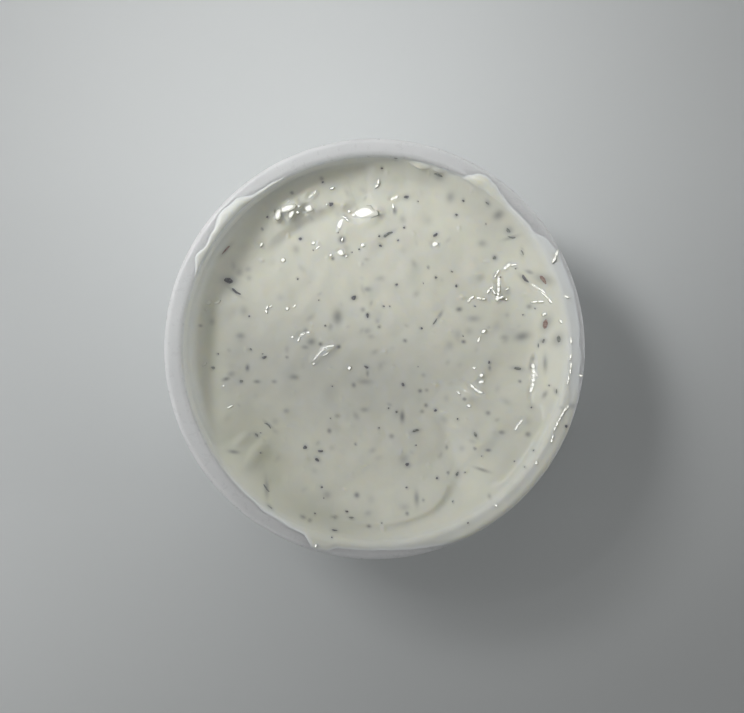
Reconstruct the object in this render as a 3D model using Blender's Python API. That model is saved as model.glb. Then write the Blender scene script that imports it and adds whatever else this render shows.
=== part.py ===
"""A round snap-lid tub of tzatziki, standing open, with the dip stirred up against one side.

Two solids: the moulded tub, and the dip that lies in it.
The tub stands on its foot ring at Z 0, its axis is Z, and +Y is the side away from the eater.
All sizes are metres.
"""

import math

import bmesh
import bpy
import numpy as np
from mathutils import Vector

# The tub: a moulded shell of one thickness, turned about Z
TUB_HEIGHT = 0.052
RIM_RADIUS = 0.05875
WALL = 0.0010
TUB_FACETS = 64

# The tub's floor: a raised panel, and a moat round it whose underside is the foot ring
PANEL_RADIUS = 0.0398
PANEL_TOP = 0.0024
MOAT_RADIUS = 0.0412
MOAT_TOP = WALL
FLOOR_ROUND = 0.0013
MOAT_ROUND = 0.0008
HEEL_ROUND = 0.0030

# The tub's side: a tapered wall, a stacking step and a near-upright neck
TAPER = math.tan(math.radians(8.0))
STEP_RADIUS = 0.0526
STEP_DROP = 0.0072
STEP_ROUND = 0.0014
NECK_RADIUS = 0.0537
NECK_DROP = 0.0060
NECK_ROUND = 0.0008

# The tub's lip: the wall rolls over at the top and hangs down as a short skirt
LIP_RADIUS = 0.0539
LIP_ROUND = 0.0014
RIM_ROUND = 0.00155
SKIRT_DROP = 0.0052

# The dip: its cells, its level in the middle, and the bank that rises to the wall
DIP_GAP = 0.00035
DIP_CELLS = 32
MIDDLE_LEVEL = TUB_HEIGHT - 0.0122
BANK_START = 0.70
BANK_POWER = 3.2
SQUEEZE = 0.00035

# How far below the top of the lip the dip meets the wall: (degrees round the tub, depth).
# It was scooped low along the left wall and smeared high along the right one.
SHORE = (
    (0.0, 0.0019),
    (58.0, 0.0021),
    (72.0, 0.0036),
    (89.0, 0.0044),
    (95.0, 0.0066),
    (132.0, 0.0072),
    (162.0, 0.0128),
    (196.0, 0.0128),
    (214.0, 0.0026),
    (300.0, 0.0026),
)

# Folds left by the spoon: places (x, y) along each crest, crest height, reach of its left side,
# reach of its right side, and the crease beside it: its place (left is positive), depth and reach
FAR_FOLD = (
    ((-0.0325, 0.0294), (-0.0275, 0.0342), (-0.0200, 0.0386), (-0.0125, 0.0420), (-0.0060, 0.0442)),
    0.0020,
    0.0050,
    0.0024,
    (-0.0040, 0.0002, 0.0020),
)
NEAR_FOLD = (
    ((-0.0120, -0.0480), (0.0010, -0.0490), (0.0130, -0.0464), (0.0186, -0.0428), (0.0210, -0.0380)),
    0.0012,
    0.0055,
    0.0024,
    (-0.0036, 0.0005, 0.0018),
)
LEFT_FOLD = (
    ((-0.0395, -0.0360), (-0.0365, -0.0318), (-0.0342, -0.0286), (-0.0310, -0.0255)),
    0.0013,
    0.0028,
    0.0024,
    (-0.0046, 0.0010, 0.0032),
)
FOLDS = (FAR_FOLD, NEAR_FOLD, LEFT_FOLD)
FOLD_STEPS = 8

# Lumps and hollows of the stirred top: (x, y), height above the dish, length and width of the
# oval, and the degrees it is turned
SWELLS = (
    ((0.0080, -0.0450), 0.0026, (0.0170, 0.0052), 12.0),
    ((-0.0060, 0.0360), 0.0016, (0.0160, 0.0090), 10.0),
    ((0.0140, 0.0300), 0.0012, (0.0180, 0.0120), 0.0),
    ((0.0390, 0.0190), 0.0012, (0.0068, 0.0052), 20.0),
    ((0.0310, -0.0075), 0.0009, (0.0048, 0.0036), 60.0),
    ((-0.0150, -0.0010), 0.0007, (0.0042, 0.0030), 28.0),
    ((0.0010, 0.0380), 0.0009, (0.0040, 0.0032), 20.0),
    ((0.0120, 0.0485), 0.0010, (0.0038, 0.0028), -12.0),
    ((-0.0290, -0.0385), -0.0008, (0.0048, 0.0036), -60.0),
    ((-0.0420, 0.0040), 0.0004, (0.0052, 0.0052), 0.0),
    ((0.0040, -0.0200), -0.0007, (0.0170, 0.0120), 10.0),
)
FADE_START = 0.90

# Finishes: base colour, roughness, metallic
TUB_FINISH = ((0.66, 0.69, 0.70, 1.0), 0.34, 0.0)
DIP_FINISH = ((0.72, 0.71, 0.62, 1.0), 0.22, 0.0)


def clear_scene():
    """Removes what the scene holds."""
    for thing in list(bpy.data.objects):
        bpy.data.objects.remove(thing)


def make_material(name, finish):
    """A plain material with a base colour, a roughness and a metallic value."""
    colour, roughness, metallic = finish
    material = bpy.data.materials.new(name)
    material.use_nodes = True
    shader = material.node_tree.nodes["Principled BSDF"]
    shader.inputs["Base Color"].default_value = colour
    shader.inputs["Roughness"].default_value = roughness
    shader.inputs["Metallic"].default_value = metallic
    return material


def tub_corners():
    """The corners (r, z, rounding) of the tub's inner face, from the axis over the lip to the skirt."""
    wall_foot = STEP_RADIUS - TAPER * (TUB_HEIGHT - STEP_DROP - MOAT_TOP)
    return [
        (0.0, PANEL_TOP, 0.0),
        (PANEL_RADIUS, PANEL_TOP, FLOOR_ROUND),
        (MOAT_RADIUS, MOAT_TOP, MOAT_ROUND),
        (wall_foot, MOAT_TOP, HEEL_ROUND),
        (STEP_RADIUS, TUB_HEIGHT - STEP_DROP, STEP_ROUND),
        (NECK_RADIUS, TUB_HEIGHT - NECK_DROP, NECK_ROUND),
        (LIP_RADIUS, TUB_HEIGHT, LIP_ROUND),
        (RIM_RADIUS, TUB_HEIGHT, RIM_ROUND),
        (RIM_RADIUS, TUB_HEIGHT - SKIRT_DROP, 0.0),
    ]


def offset_corners(corners, distance):
    """The corners of the parallel path at a distance to the right of a path, roundings to match."""
    places = [Vector(corner[:2]) for corner in corners]
    ways = [(after - before).normalized() for before, after in zip(places, places[1:])]
    moved = []
    for index, place in enumerate(places):
        way_in = ways[max(index - 1, 0)]
        way_out = ways[min(index, len(ways) - 1)]
        right_in = Vector((way_in.y, -way_in.x))
        right_out = Vector((way_out.y, -way_out.x))
        shift = (right_in + right_out) * distance / (1.0 + right_in.dot(right_out))
        turns_left = way_in.cross(way_out) > 0.0
        rounding = corners[index][2]
        if rounding:
            rounding += distance if turns_left else -distance
        moved.append((*(place + shift), rounding))
    return moved


def rounded_path(corners, steps):
    """The points of a path whose corners are replaced by tangent arcs of their rounding radii."""
    points = []
    for index, (r, z, rounding) in enumerate(corners):
        corner = Vector((r, z))
        if rounding <= 0.0 or steps[index] == 0:
            points.append(corner)
            continue
        back = (Vector(corners[index - 1][:2]) - corner).normalized()
        ahead = (Vector(corners[index + 1][:2]) - corner).normalized()
        half = back.angle(ahead) / 2.0
        centre = corner + (back + ahead).normalized() * (rounding / math.sin(half))
        first = corner + back * (rounding / math.tan(half)) - centre
        last = corner + ahead * (rounding / math.tan(half)) - centre
        start = math.atan2(first.y, first.x)
        sweep = math.remainder(math.atan2(last.y, last.x) - start, math.tau)
        for step in range(steps[index] + 1):
            angle = start + sweep * step / steps[index]
            points.append(centre + rounding * Vector((math.cos(angle), math.sin(angle))))
    return points


def add_object(name, mesh, finish):
    """An object of a closed bmesh, its faces turned outwards and its round parts shaded smooth."""
    bmesh.ops.recalc_face_normals(mesh, faces=mesh.faces)
    data = bpy.data.meshes.new(name)
    mesh.to_mesh(data)
    mesh.free()
    data.shade_smooth()
    data.set_sharp_from_angle(angle=math.radians(40.0))
    data.materials.append(make_material(name, finish))
    made = bpy.data.objects.new(name, data)
    bpy.context.scene.collection.objects.link(made)
    return made


def build_tub():
    """The tub: the section between its inner face and the parallel outer face, spun about Z."""
    corners = tub_corners()
    inner = rounded_path(corners, (0, 1, 1, 3, 2, 1, 3, 3, 0))
    outer = rounded_path(offset_corners(corners, WALL), (0, 1, 1, 3, 2, 1, 1, 2, 0))
    section = inner + outer[::-1]
    mesh = bmesh.new()
    turned = [mesh.verts.new((point.x, 0.0, point.y)) for point in section]
    edges = [mesh.edges.new(pair) for pair in zip(turned, turned[1:])]
    bmesh.ops.spin(
        mesh,
        geom=turned + edges,
        cent=(0.0, 0.0, 0.0),
        axis=(0.0, 0.0, 1.0),
        angle=math.tau,
        steps=TUB_FACETS,
        use_merge=True,
    )
    bmesh.ops.remove_doubles(mesh, verts=mesh.verts, dist=1e-6)
    return add_object("tub", mesh, TUB_FINISH)


def smooth_rise(low, high, value):
    """A smooth step: 0 up to low, 1 from high on."""
    share = np.clip((value - low) / (high - low), 0.0, 1.0)
    return share * share * (3.0 - 2.0 * share)


def shore_height(azimuth):
    """The height at which the dip meets the wall: eased from station to station round the tub."""
    degrees = math.degrees(azimuth) % 360.0
    round_again = (SHORE[0][0] + 360.0, SHORE[0][1])
    depth = SHORE[0][1]
    for (start, depth_here), (end, depth_next) in zip(SHORE, (*SHORE[1:], round_again)):
        if start <= degrees <= end:
            depth = depth_here + (depth_next - depth_here) * float(smooth_rise(start, end, degrees))
    return TUB_HEIGHT - depth


def curve_points(controls):
    """Points of the smooth curve through some places: between two of them, the Catmull-Rom cubic."""
    places = np.array((controls[0], *controls, controls[-1]))
    t = np.linspace(0.0, 1.0, FOLD_STEPS, endpoint=False)[:, None]
    spans = []
    for p0, p1, p2, p3 in zip(places, places[1:], places[2:], places[3:]):
        cubic = (3.0 * p1 - 3.0 * p2 + p3 - p0) * t**3 + (2.0 * p0 - 5.0 * p1 + 4.0 * p2 - p3) * t**2
        spans.append(p1 + 0.5 * (cubic + (p2 - p0) * t))
    return np.vstack((*spans, places[-1:]))


def fold_height(x, y, fold):
    """The height that one fold adds at (x, y): a crest with unlike sides, and a crease beside it."""
    controls, height, left_reach, right_reach, crease = fold
    points = curve_points(controls)
    ways = np.diff(points, axis=0)
    lengths = np.hypot(*ways.T)
    offsets = np.array((x, y)) - points[:-1]
    along = np.clip((offsets * ways).sum(axis=1) / lengths**2, 0.0, 1.0)
    misses = offsets - along[:, None] * ways
    nearest = int(np.argmin(np.hypot(*misses.T)))
    way = ways[nearest]
    across = (way[0] * misses[nearest, 1] - way[1] * misses[nearest, 0]) / lengths[nearest]
    share = (nearest + along[nearest]) / len(ways)
    miss = math.hypot(*misses[nearest])
    reach = left_reach if across > 0.0 else right_reach
    crease_place, crease_depth, crease_reach = crease
    crest = height * math.exp(-((miss / reach) ** 2))
    trough = crease_depth * math.exp(-(((across - crease_place) / crease_reach) ** 2))
    inside = math.exp(-(max(miss - abs(across), 0.0) / left_reach) ** 2)
    ends = math.sin(math.pi * min(max(share, 0.0), 1.0)) ** 0.5
    return crest * (0.35 + 0.65 * ends) - trough * ends * inside


def swell_height(x, y):
    """The height that the lumps and hollows add at (x, y): a sum of oval bumps."""
    total = 0.0
    for (centre_x, centre_y), height, (length, width), turn in SWELLS:
        cosine = math.cos(math.radians(turn))
        sine = math.sin(math.radians(turn))
        along = ((x - centre_x) * cosine + (y - centre_y) * sine) / length
        across = ((y - centre_y) * cosine - (x - centre_x) * sine) / width
        total += height * math.exp(-(along**2) - across**2)
    return total


def dip_top(share, azimuth, radius):
    """The height of the dip's top: a dish, banked up to the shore, with folds and lumps on it."""
    x = radius * math.cos(azimuth)
    y = radius * math.sin(azimuth)
    bank = max((share - BANK_START) / (1.0 - BANK_START), 0.0) ** BANK_POWER
    dish = MIDDLE_LEVEL + (shore_height(azimuth) - MIDDLE_LEVEL) * bank
    relief = swell_height(x, y) + sum(fold_height(x, y, fold) for fold in FOLDS)
    return dish + relief * (1.0 - float(smooth_rise(FADE_START, 1.0, share)))


def disc_place(a, b):
    """Where a point of the square from -1 to 1 goes on the disc: (share of the radius, azimuth)."""
    if a == 0.0 and b == 0.0:
        return 0.0, 0.0
    if abs(a) > abs(b):
        share, azimuth = a, math.pi / 4.0 * b / a
    else:
        share, azimuth = b, math.pi / 2.0 - math.pi / 4.0 * a / b
    if share < 0.0:
        share, azimuth = -share, azimuth + math.pi
    return share, azimuth % math.tau


def place_on_ring(vertex, azimuth, radius, height):
    """Moves a vertex to its azimuth on a ring."""
    vertex.co = Vector((radius * math.cos(azimuth), radius * math.sin(azimuth), height))


def build_dip():
    """The dip: a grid bent to its dished top, whose edge is extruded down the wall and over the floor."""
    corners = offset_corners(tub_corners(), -DIP_GAP)
    side = rounded_path(corners[:7], (0, 0, 0, 3, 1, 1, 0))
    floor_rings = side[1:3]
    wall_rings = side[3:-1]
    heights = [point.y for point in wall_rings] + [corners[6][1]]
    radii = [point.x for point in wall_rings] + [corners[6][0]]

    mesh = bmesh.new()
    bmesh.ops.create_grid(mesh, x_segments=DIP_CELLS, y_segments=DIP_CELLS, size=1.0)
    for vertex in mesh.verts:
        share, azimuth = disc_place(round(vertex.co.x, 6), round(vertex.co.y, 6))
        edge_radius = float(np.interp(shore_height(azimuth), heights, radii))
        radius = share * edge_radius
        place_on_ring(vertex, azimuth, radius, dip_top(share, azimuth, radius))

    edges = [edge for edge in mesh.edges if edge.is_boundary]
    for count, ring in enumerate(reversed(wall_rings), start=1):
        edges = extrude_ring(mesh, edges)
        for vertex in {corner for edge in edges for corner in edge.verts}:
            azimuth = math.atan2(vertex.co.y, vertex.co.x)
            height = min(ring.y, shore_height(azimuth) - count * SQUEEZE)
            place_on_ring(vertex, azimuth, float(np.interp(height, heights, radii)), height)
    for ring in reversed(floor_rings):
        edges = extrude_ring(mesh, edges)
        for vertex in {corner for edge in edges for corner in edge.verts}:
            azimuth = math.atan2(vertex.co.y, vertex.co.x)
            place_on_ring(vertex, azimuth, ring.x, ring.y)
    bmesh.ops.edgeloop_fill(mesh, edges=edges)
    return add_object("dip", mesh, DIP_FINISH)


def extrude_ring(mesh, edges):
    """Extrudes a loop of edges, and returns the new loop."""
    made = bmesh.ops.extrude_edge_only(mesh, edges=edges)["geom"]
    fresh = {item for item in made if isinstance(item, bmesh.types.BMVert)}
    return [
        item
        for item in made
        if isinstance(item, bmesh.types.BMEdge) and set(item.verts) <= fresh
    ]


clear_scene()
build_tub()
build_dip()
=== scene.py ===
"""The looks of an open tub of tzatziki: the moulded tub, the stirred dip, and the herbs and pepper in it.

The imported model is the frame. The tub stands on Z 0 with its axis on Z, and +Y points away from the eater.
Lengths are metres, and a number times MM is that many millimetres. Azimuths run counter-clockwise from +X.
"""

import logging
import math
from dataclasses import dataclass, field
from enum import Enum

import bpy
import numpy as np
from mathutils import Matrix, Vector


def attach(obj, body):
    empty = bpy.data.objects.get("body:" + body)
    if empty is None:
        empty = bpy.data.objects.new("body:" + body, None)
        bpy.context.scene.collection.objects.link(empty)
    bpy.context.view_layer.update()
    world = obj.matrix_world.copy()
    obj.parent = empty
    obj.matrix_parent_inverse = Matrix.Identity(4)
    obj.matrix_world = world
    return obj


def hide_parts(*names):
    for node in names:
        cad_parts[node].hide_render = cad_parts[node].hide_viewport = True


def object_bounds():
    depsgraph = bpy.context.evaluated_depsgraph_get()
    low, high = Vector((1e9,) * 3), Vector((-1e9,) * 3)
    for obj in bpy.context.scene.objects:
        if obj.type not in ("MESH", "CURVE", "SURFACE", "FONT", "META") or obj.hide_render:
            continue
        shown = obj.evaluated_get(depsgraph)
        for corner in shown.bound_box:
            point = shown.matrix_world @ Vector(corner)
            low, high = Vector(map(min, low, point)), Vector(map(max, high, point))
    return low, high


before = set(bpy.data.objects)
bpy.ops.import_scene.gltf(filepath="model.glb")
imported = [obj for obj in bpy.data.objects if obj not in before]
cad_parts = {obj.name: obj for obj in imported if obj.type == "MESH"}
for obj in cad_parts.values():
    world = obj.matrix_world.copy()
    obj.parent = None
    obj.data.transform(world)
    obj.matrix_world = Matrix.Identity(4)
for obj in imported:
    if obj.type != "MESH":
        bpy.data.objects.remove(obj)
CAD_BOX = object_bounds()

MM = 0.001
TAU = math.tau
SHEER = 0.28 * MM  # the thickness of dip over which the plastic under it stops showing
SOFTENINGS = 24  # rounds of evening out where the dish turns into the film
SOFTENED_SHARE = 0.6  # how far a round moves a point towards the mean of its neighbours
STAIN_COUNT = 120  # number of seeded stains
STAIN_REACH = 48.0  # the furthest that a seeded stain lies from the axis, in millimetres
SCATTER_REACH = 51.0  # the furthest that a scattered fleck lies from the axis, in millimetres
BEAD_CLEARANCE = 0.02 * MM  # how far the lowest part of a bead's top edge stands above the dip
BEAD_ROOT = 0.12 * MM  # how far a bead's last ring lies under the dip and under the plane of its top
BEAD_ROOT_REACH = 1.35  # that ring's size, as a share of the bead's
LOG = logging.getLogger("tub_of_dip")


# ---------------------------------------------------------------- shapes worked out with arrays


def eased(low: float, high: float, value: np.ndarray) -> np.ndarray:
    """A smooth step.

    Args:
        low: The value up to which the result is 0.
        high: The value from which the result is 1.
        value: The values to step.

    Returns:
        3t^2 - 2t^3, where t is the share of the way from low to high.
    """
    share = np.clip((value - low) / (high - low), 0.0, 1.0)
    return share * share * (3.0 - 2.0 * share)


def round_the_tub(stations: tuple, azimuth: np.ndarray) -> np.ndarray:
    """A quantity that is eased from station to station round the tub.

    Args:
        stations: Pairs (degrees, value) in rising order, less than one turn in all.
        azimuth: Azimuths in radians.

    Returns:
        The value at each azimuth: v0 + (v1 - v0)(3t^2 - 2t^3) between two stations.
    """
    places = np.array([place for place, _ in stations] + [stations[0][0] + 360.0])
    values = np.array([value for _, value in stations] + [stations[0][1]])
    degrees = np.degrees(azimuth) % 360.0
    degrees = np.where(degrees < places[0], degrees + 360.0, degrees)
    index = np.clip(np.searchsorted(places, degrees, side="right") - 1, 0, len(places) - 2)
    share = (degrees - places[index]) / (places[index + 1] - places[index])
    return values[index] + (values[index + 1] - values[index]) * eased(0.0, 1.0, share)


@dataclass(frozen=True)
class Ripples:
    """Even-grained noise of about one wavelength: the sum of plane waves in seeded directions."""

    seed: int
    wavelength: float
    waves: int = 26
    spread: float = 0.35

    def at(self, x: np.ndarray, y: np.ndarray) -> np.ndarray:
        """The noise at some places.

        Args:
            x: Places along X.
            y: Places along Y.

        Returns:
            The sum of cos(k (x cos a + y sin a) + p) over the waves, scaled to a spread of about 1.
        """
        dice = np.random.default_rng(self.seed)
        headings = (np.arange(self.waves) + dice.uniform(0.0, 1.0, self.waves)) * math.pi / self.waves
        phases = dice.uniform(0.0, TAU, self.waves)
        numbers = TAU / (self.wavelength * dice.uniform(1.0 - self.spread, 1.0 + self.spread, self.waves))
        total = np.zeros(np.shape(x))
        for heading, phase, number in zip(headings, phases, numbers):
            total = total + np.cos(number * (x * math.cos(heading) + y * math.sin(heading)) + phase)
        return total * math.sqrt(2.0 / self.waves)


def disc_places(cells: int) -> tuple[np.ndarray, np.ndarray]:
    """A square grid bent to a disc, each square ring of it to a round one.

    Args:
        cells: Number of cells along a side.

    Returns:
        The share of the radius and the azimuth of each grid point. A point (a, b) of the square with
        |a| > |b| goes to share |a| and azimuth (pi / 4) b / a, and the others likewise from the Y axis.
    """
    line = np.linspace(-1.0, 1.0, cells + 1)
    a, b = np.meshgrid(line, line, indexing="ij")
    sideways = np.abs(a) > np.abs(b)
    larger = np.where(sideways, a, b)
    smaller = np.where(sideways, b, a)
    turn = math.pi / 4.0 * smaller / np.where(larger == 0.0, 1.0, larger)
    azimuth = np.where(sideways, turn, math.pi / 2.0 - turn)
    azimuth = np.where(larger < 0.0, azimuth + math.pi, azimuth)
    return np.abs(larger), azimuth % TAU


def grid_normals(points: np.ndarray) -> np.ndarray:
    """Unit normals of a grid of points: the cross product of the steps along its two ways."""
    along, across = np.gradient(points, axis=(0, 1))
    normals = np.cross(along, across)
    return normals / np.maximum(np.linalg.norm(normals, axis=-1, keepdims=True), 1e-12)


def grid_quads(rows: int, columns: int, wraps: bool = False) -> np.ndarray:
    """The quads of a grid whose points are numbered row by row.

    Args:
        rows: Number of rows of points.
        columns: Number of points in a row.
        wraps: Whether the last column joins the first.

    Returns:
        An array of four point numbers for each quad.
    """
    spans = columns if wraps else columns - 1
    row, column = np.meshgrid(np.arange(rows - 1), np.arange(spans), indexing="ij")
    beside = (column + 1) % columns
    corners = (row * columns + column, row * columns + beside)
    quads = np.stack((*corners, corners[1] + columns, corners[0] + columns), axis=-1)
    return quads.reshape(-1, 4)


def fan(ring: np.ndarray, hub: int) -> np.ndarray:
    """Triangles from each edge of a closed ring of point numbers to one hub point."""
    return np.stack((ring, np.roll(ring, -1), np.full(len(ring), hub)), axis=-1)


def measures(shapes: list) -> np.ndarray:
    """The places, lengths and widths in metres and the turns in radians of shapes, a row for each measure."""
    return np.array(
        [(s.x * MM, s.y * MM, s.length * MM, s.width * MM, math.radians(s.turn)) for s in shapes]
    ).T


def for_each(groups: tuple, count: int, size: int) -> list:
    """The faces of a shape repeated for a count of shapes.

    Args:
        groups: Arrays of the first shape's faces.
        count: Number of shapes.
        size: Number of points of each shape.

    Returns:
        The arrays of all their faces, the point numbers rising by the size from shape to shape.
    """
    shift = (np.arange(count) * size)[:, None, None]
    return [(group[None] + shift).reshape(-1, group.shape[1]) for group in groups]


def make_piece(name: str, points: np.ndarray, faces: list) -> bpy.types.Object:
    """A smooth object of points and faces, turned right side out.

    Args:
        name: The object's name.
        points: An array of places, three numbers each.
        faces: Arrays of point numbers, one face a row, each array with its own number of corners.

    Returns:
        The object. If the signed volume, the sum of a . (b x c) / 6 over its triangles, is below 0, every
        face is reversed first.
    """
    volume = 0.0
    for group in faces:
        for second in range(1, group.shape[1] - 1):
            a, b, c = (points[group[:, index]] for index in (0, second, second + 1))
            volume += float(np.einsum("ij,ij->", a, np.cross(b, c)))
    if volume < 0.0:
        faces = [group[:, ::-1] for group in faces]
    mesh = bpy.data.meshes.new(name)
    sizes = np.concatenate([np.full(len(group), group.shape[1]) for group in faces])
    corners = np.concatenate([group.ravel() for group in faces])
    mesh.vertices.add(len(points))
    mesh.vertices.foreach_set("co", points.astype(np.float32).ravel())
    mesh.loops.add(len(corners))
    mesh.loops.foreach_set("vertex_index", corners.astype(np.int32))
    mesh.polygons.add(len(sizes))
    mesh.polygons.foreach_set("loop_start", (np.cumsum(sizes) - sizes).astype(np.int32))
    mesh.update(calc_edges=True)
    mesh.validate()
    mesh.shade_smooth()
    piece = bpy.data.objects.new(name, mesh)
    bpy.context.scene.collection.objects.link(piece)
    return piece


def paint_points(piece: bpy.types.Object, name: str, values: np.ndarray) -> None:
    """Gives a piece a named number at each of its points."""
    attribute = piece.data.attributes.new(name, "FLOAT", "POINT")
    attribute.data.foreach_set("value", values.astype(np.float32).ravel())


# ---------------------------------------------------------------- finishes


class Recipe:
    """A material under construction: its node tree and its Principled shader."""

    def __init__(self, name: str) -> None:
        """Starts a material of that name."""
        self.material = bpy.data.materials.new(name)
        self.material.use_nodes = True
        self.tree = self.material.node_tree
        self.shader = self.tree.nodes["Principled BSDF"]

    def node(self, kind: str, **settings: object) -> bpy.types.Node:
        """Adds a node of a kind, with its properties set."""
        made = self.tree.nodes.new("ShaderNode" + kind)
        for key, value in settings.items():
            setattr(made, key, value)
        return made

    def link(self, source: bpy.types.NodeSocket, target: bpy.types.NodeSocket) -> None:
        """Links an output to an input."""
        self.tree.links.new(source, target)

    def sockets(self, **values: object) -> None:
        """Sets the shader's own sockets. A name's underscores stand for spaces."""
        for key, value in values.items():
            self.shader.inputs[key.replace("_", " ")].default_value = value

    def object_places(self) -> bpy.types.NodeSocket:
        """The Object coordinates, in metres."""
        return self.node("TexCoord").outputs["Object"]

    def painted(self, name: str) -> bpy.types.NodeSocket:
        """The number that paint_points gave each point under that name."""
        return self.node("Attribute", attribute_name=name).outputs["Fac"]

    def noise(self, size: float, detail: float = 2.0, roughness: float = 0.5) -> bpy.types.NodeSocket:
        """Noise whose grains are about that size.

        Args:
            size: Size of a grain, in metres.
            detail: Number of finer octaves.
            roughness: How much the finer octaves count.

        Returns:
            The noise's factor, about 0.5 on average.
        """
        made = self.node("TexNoise")
        made.inputs["Scale"].default_value = 1.0 / size
        made.inputs["Detail"].default_value = detail
        made.inputs["Roughness"].default_value = roughness
        self.link(self.object_places(), made.inputs["Vector"])
        return made.outputs["Fac"]

    def spanned(self, source: bpy.types.NodeSocket, span: tuple, result: tuple) -> bpy.types.NodeSocket:
        """Maps a span of a number onto another span, clamped."""
        made = self.node("MapRange")
        made.inputs["From Min"].default_value, made.inputs["From Max"].default_value = span
        made.inputs["To Min"].default_value, made.inputs["To Max"].default_value = result
        self.link(source, made.inputs["Value"])
        return made.outputs["Result"]

    def combined(self, operation: str, *sources: object) -> bpy.types.NodeSocket:
        """A Math node over sockets or plain numbers."""
        made = self.node("Math", operation=operation)
        for socket, source in zip(made.inputs, sources):
            if isinstance(source, (int, float)):
                socket.default_value = source
            else:
                self.link(source, socket)
        return made.outputs["Value"]

    def mixed(self, factor: bpy.types.NodeSocket, first: object, second: object) -> bpy.types.NodeSocket:
        """A colour between two colours or colour sockets."""
        made = self.node("Mix", data_type="RGBA")
        self.link(factor, made.inputs[0])
        for socket, source in ((made.inputs[6], first), (made.inputs[7], second)):
            if isinstance(source, tuple):
                socket.default_value = (*source, 1.0)
            else:
                self.link(source, socket)
        return made.outputs[2]

    def bump(self, height: bpy.types.NodeSocket, distance: float) -> None:
        """Raises the surface by a height socket times a distance, on top of any bump made before."""
        made = self.node("Bump")
        made.inputs["Strength"].default_value = 1.0
        made.inputs["Distance"].default_value = distance
        self.link(height, made.inputs["Height"])
        before = self.shader.inputs["Normal"].links
        if before:
            self.link(before[0].from_socket, made.inputs["Normal"])
        self.link(made.outputs["Normal"], self.shader.inputs["Normal"])

    def done(self) -> bpy.types.Material:
        """The finished material."""
        return self.material


@dataclass(frozen=True)
class PlasticFinish:
    """White moulded polypropylene: faintly see-through, satin, with lathe lines from the mould."""

    colour: tuple = (0.84, 0.88, 0.88)
    cloudy: tuple = (0.80, 0.84, 0.845)
    roughness: float = 0.30
    glow_depth: float = 8.0 * MM
    line_pitch: float = 0.55 * MM

    def material(self) -> bpy.types.Material:
        """The material of the tub."""
        recipe = Recipe("tub_plastic")
        recipe.sockets(
            IOR=1.49,
            Subsurface_Weight=1.0,
            Subsurface_Radius=(0.95, 1.0, 1.0),
            Subsurface_Scale=self.glow_depth,
        )
        clouds = recipe.spanned(recipe.noise(14.0 * MM, 3.0), (0.35, 0.68), (0.0, 1.0))
        recipe.link(recipe.mixed(clouds, self.colour, self.cloudy), recipe.shader.inputs["Base Color"])
        scuffs = recipe.spanned(recipe.noise(1.6 * MM, 4.0, 0.65), (0.3, 0.7), (-0.06, 0.08))
        worn = recipe.combined("ADD", scuffs, self.roughness)
        recipe.link(worn, recipe.shader.inputs["Roughness"])
        recipe.bump(self.lathe_lines(recipe), 0.004 * MM)
        recipe.bump(recipe.noise(0.9 * MM, 3.0), 0.010 * MM)
        return recipe.done()

    def lathe_lines(self, recipe: Recipe) -> bpy.types.NodeSocket:
        """Fine rings about the axis: the sine of the distance from Z over the pitch."""
        parts = recipe.node("SeparateXYZ")
        recipe.link(recipe.object_places(), parts.inputs["Vector"])
        squares = [recipe.combined("POWER", parts.outputs[way], 2.0) for way in ("X", "Y")]
        radius = recipe.combined("SQRT", recipe.combined("ADD", *squares))
        return recipe.combined("SINE", recipe.combined("MULTIPLY", radius, TAU / self.line_pitch))


@dataclass(frozen=True)
class CreamFinish:
    """Wet yoghurt: light goes a little way in, herbs show greyly through, and whey where it is thin. The herb
    colour also paints shade where the dip gets less light, and the whey colour is partly painted shade along
    the left shore.
    """

    colour: tuple = (0.785, 0.787, 0.70)
    mottled: tuple = (0.76, 0.767, 0.685)
    # Herb grey, also used for the painted shade.
    herb: tuple = (0.17, 0.18, 0.20)
    # Whey olive, partly painted shade.
    whey_and_shade: tuple = (0.55, 0.56, 0.43)
    film: tuple = (0.80, 0.835, 0.84)
    roughness: float = 0.46
    gloss: float = 0.2
    glow_depth: float = 1.3 * MM

    def material(self, wet: bool = False) -> bpy.types.Material:
        """The material of the dip and its smears, or of the wet beads on them, which shine fully."""
        recipe = Recipe("wet_cream" if wet else "dip_cream")
        recipe.sockets(
            IOR=1.40,
            Subsurface_Radius=(1.0, 0.88, 0.62),
            Subsurface_Scale=self.glow_depth,
            Specular_IOR_Level=0.1,
            Coat_Weight=1.0 if wet else self.gloss,
            Coat_Roughness=0.02 if wet else 0.08,
            Coat_IOR=1.48,
        )
        mottle = recipe.spanned(recipe.noise(5.0 * MM, 3.0), (0.38, 0.66), (0.0, 1.0))
        colour = recipe.mixed(mottle, self.colour, self.mottled)
        # Whey tint, partly painted shade.
        colour = recipe.mixed(recipe.painted("whey_and_shade"), colour, self.whey_and_shade)
        # Herb stains and painted shade.
        colour = recipe.mixed(recipe.painted("herb"), colour, self.herb)
        colour = recipe.mixed(recipe.painted("film"), colour, self.film)
        recipe.link(colour, recipe.shader.inputs["Base Color"])
        deep = recipe.spanned(recipe.painted("film"), (0.0, 0.55), (0.0 if wet else 0.85, 0.0))
        recipe.link(deep, recipe.shader.inputs["Subsurface Weight"])
        drier = recipe.spanned(recipe.noise(3.2 * MM, 2.0), (0.3, 0.7), (-0.05, 0.09))
        recipe.link(recipe.combined("ADD", drier, self.roughness), recipe.shader.inputs["Roughness"])
        recipe.bump(recipe.noise(1.1 * MM, 2.0), 0.006 * MM)
        return recipe.done()


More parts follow.
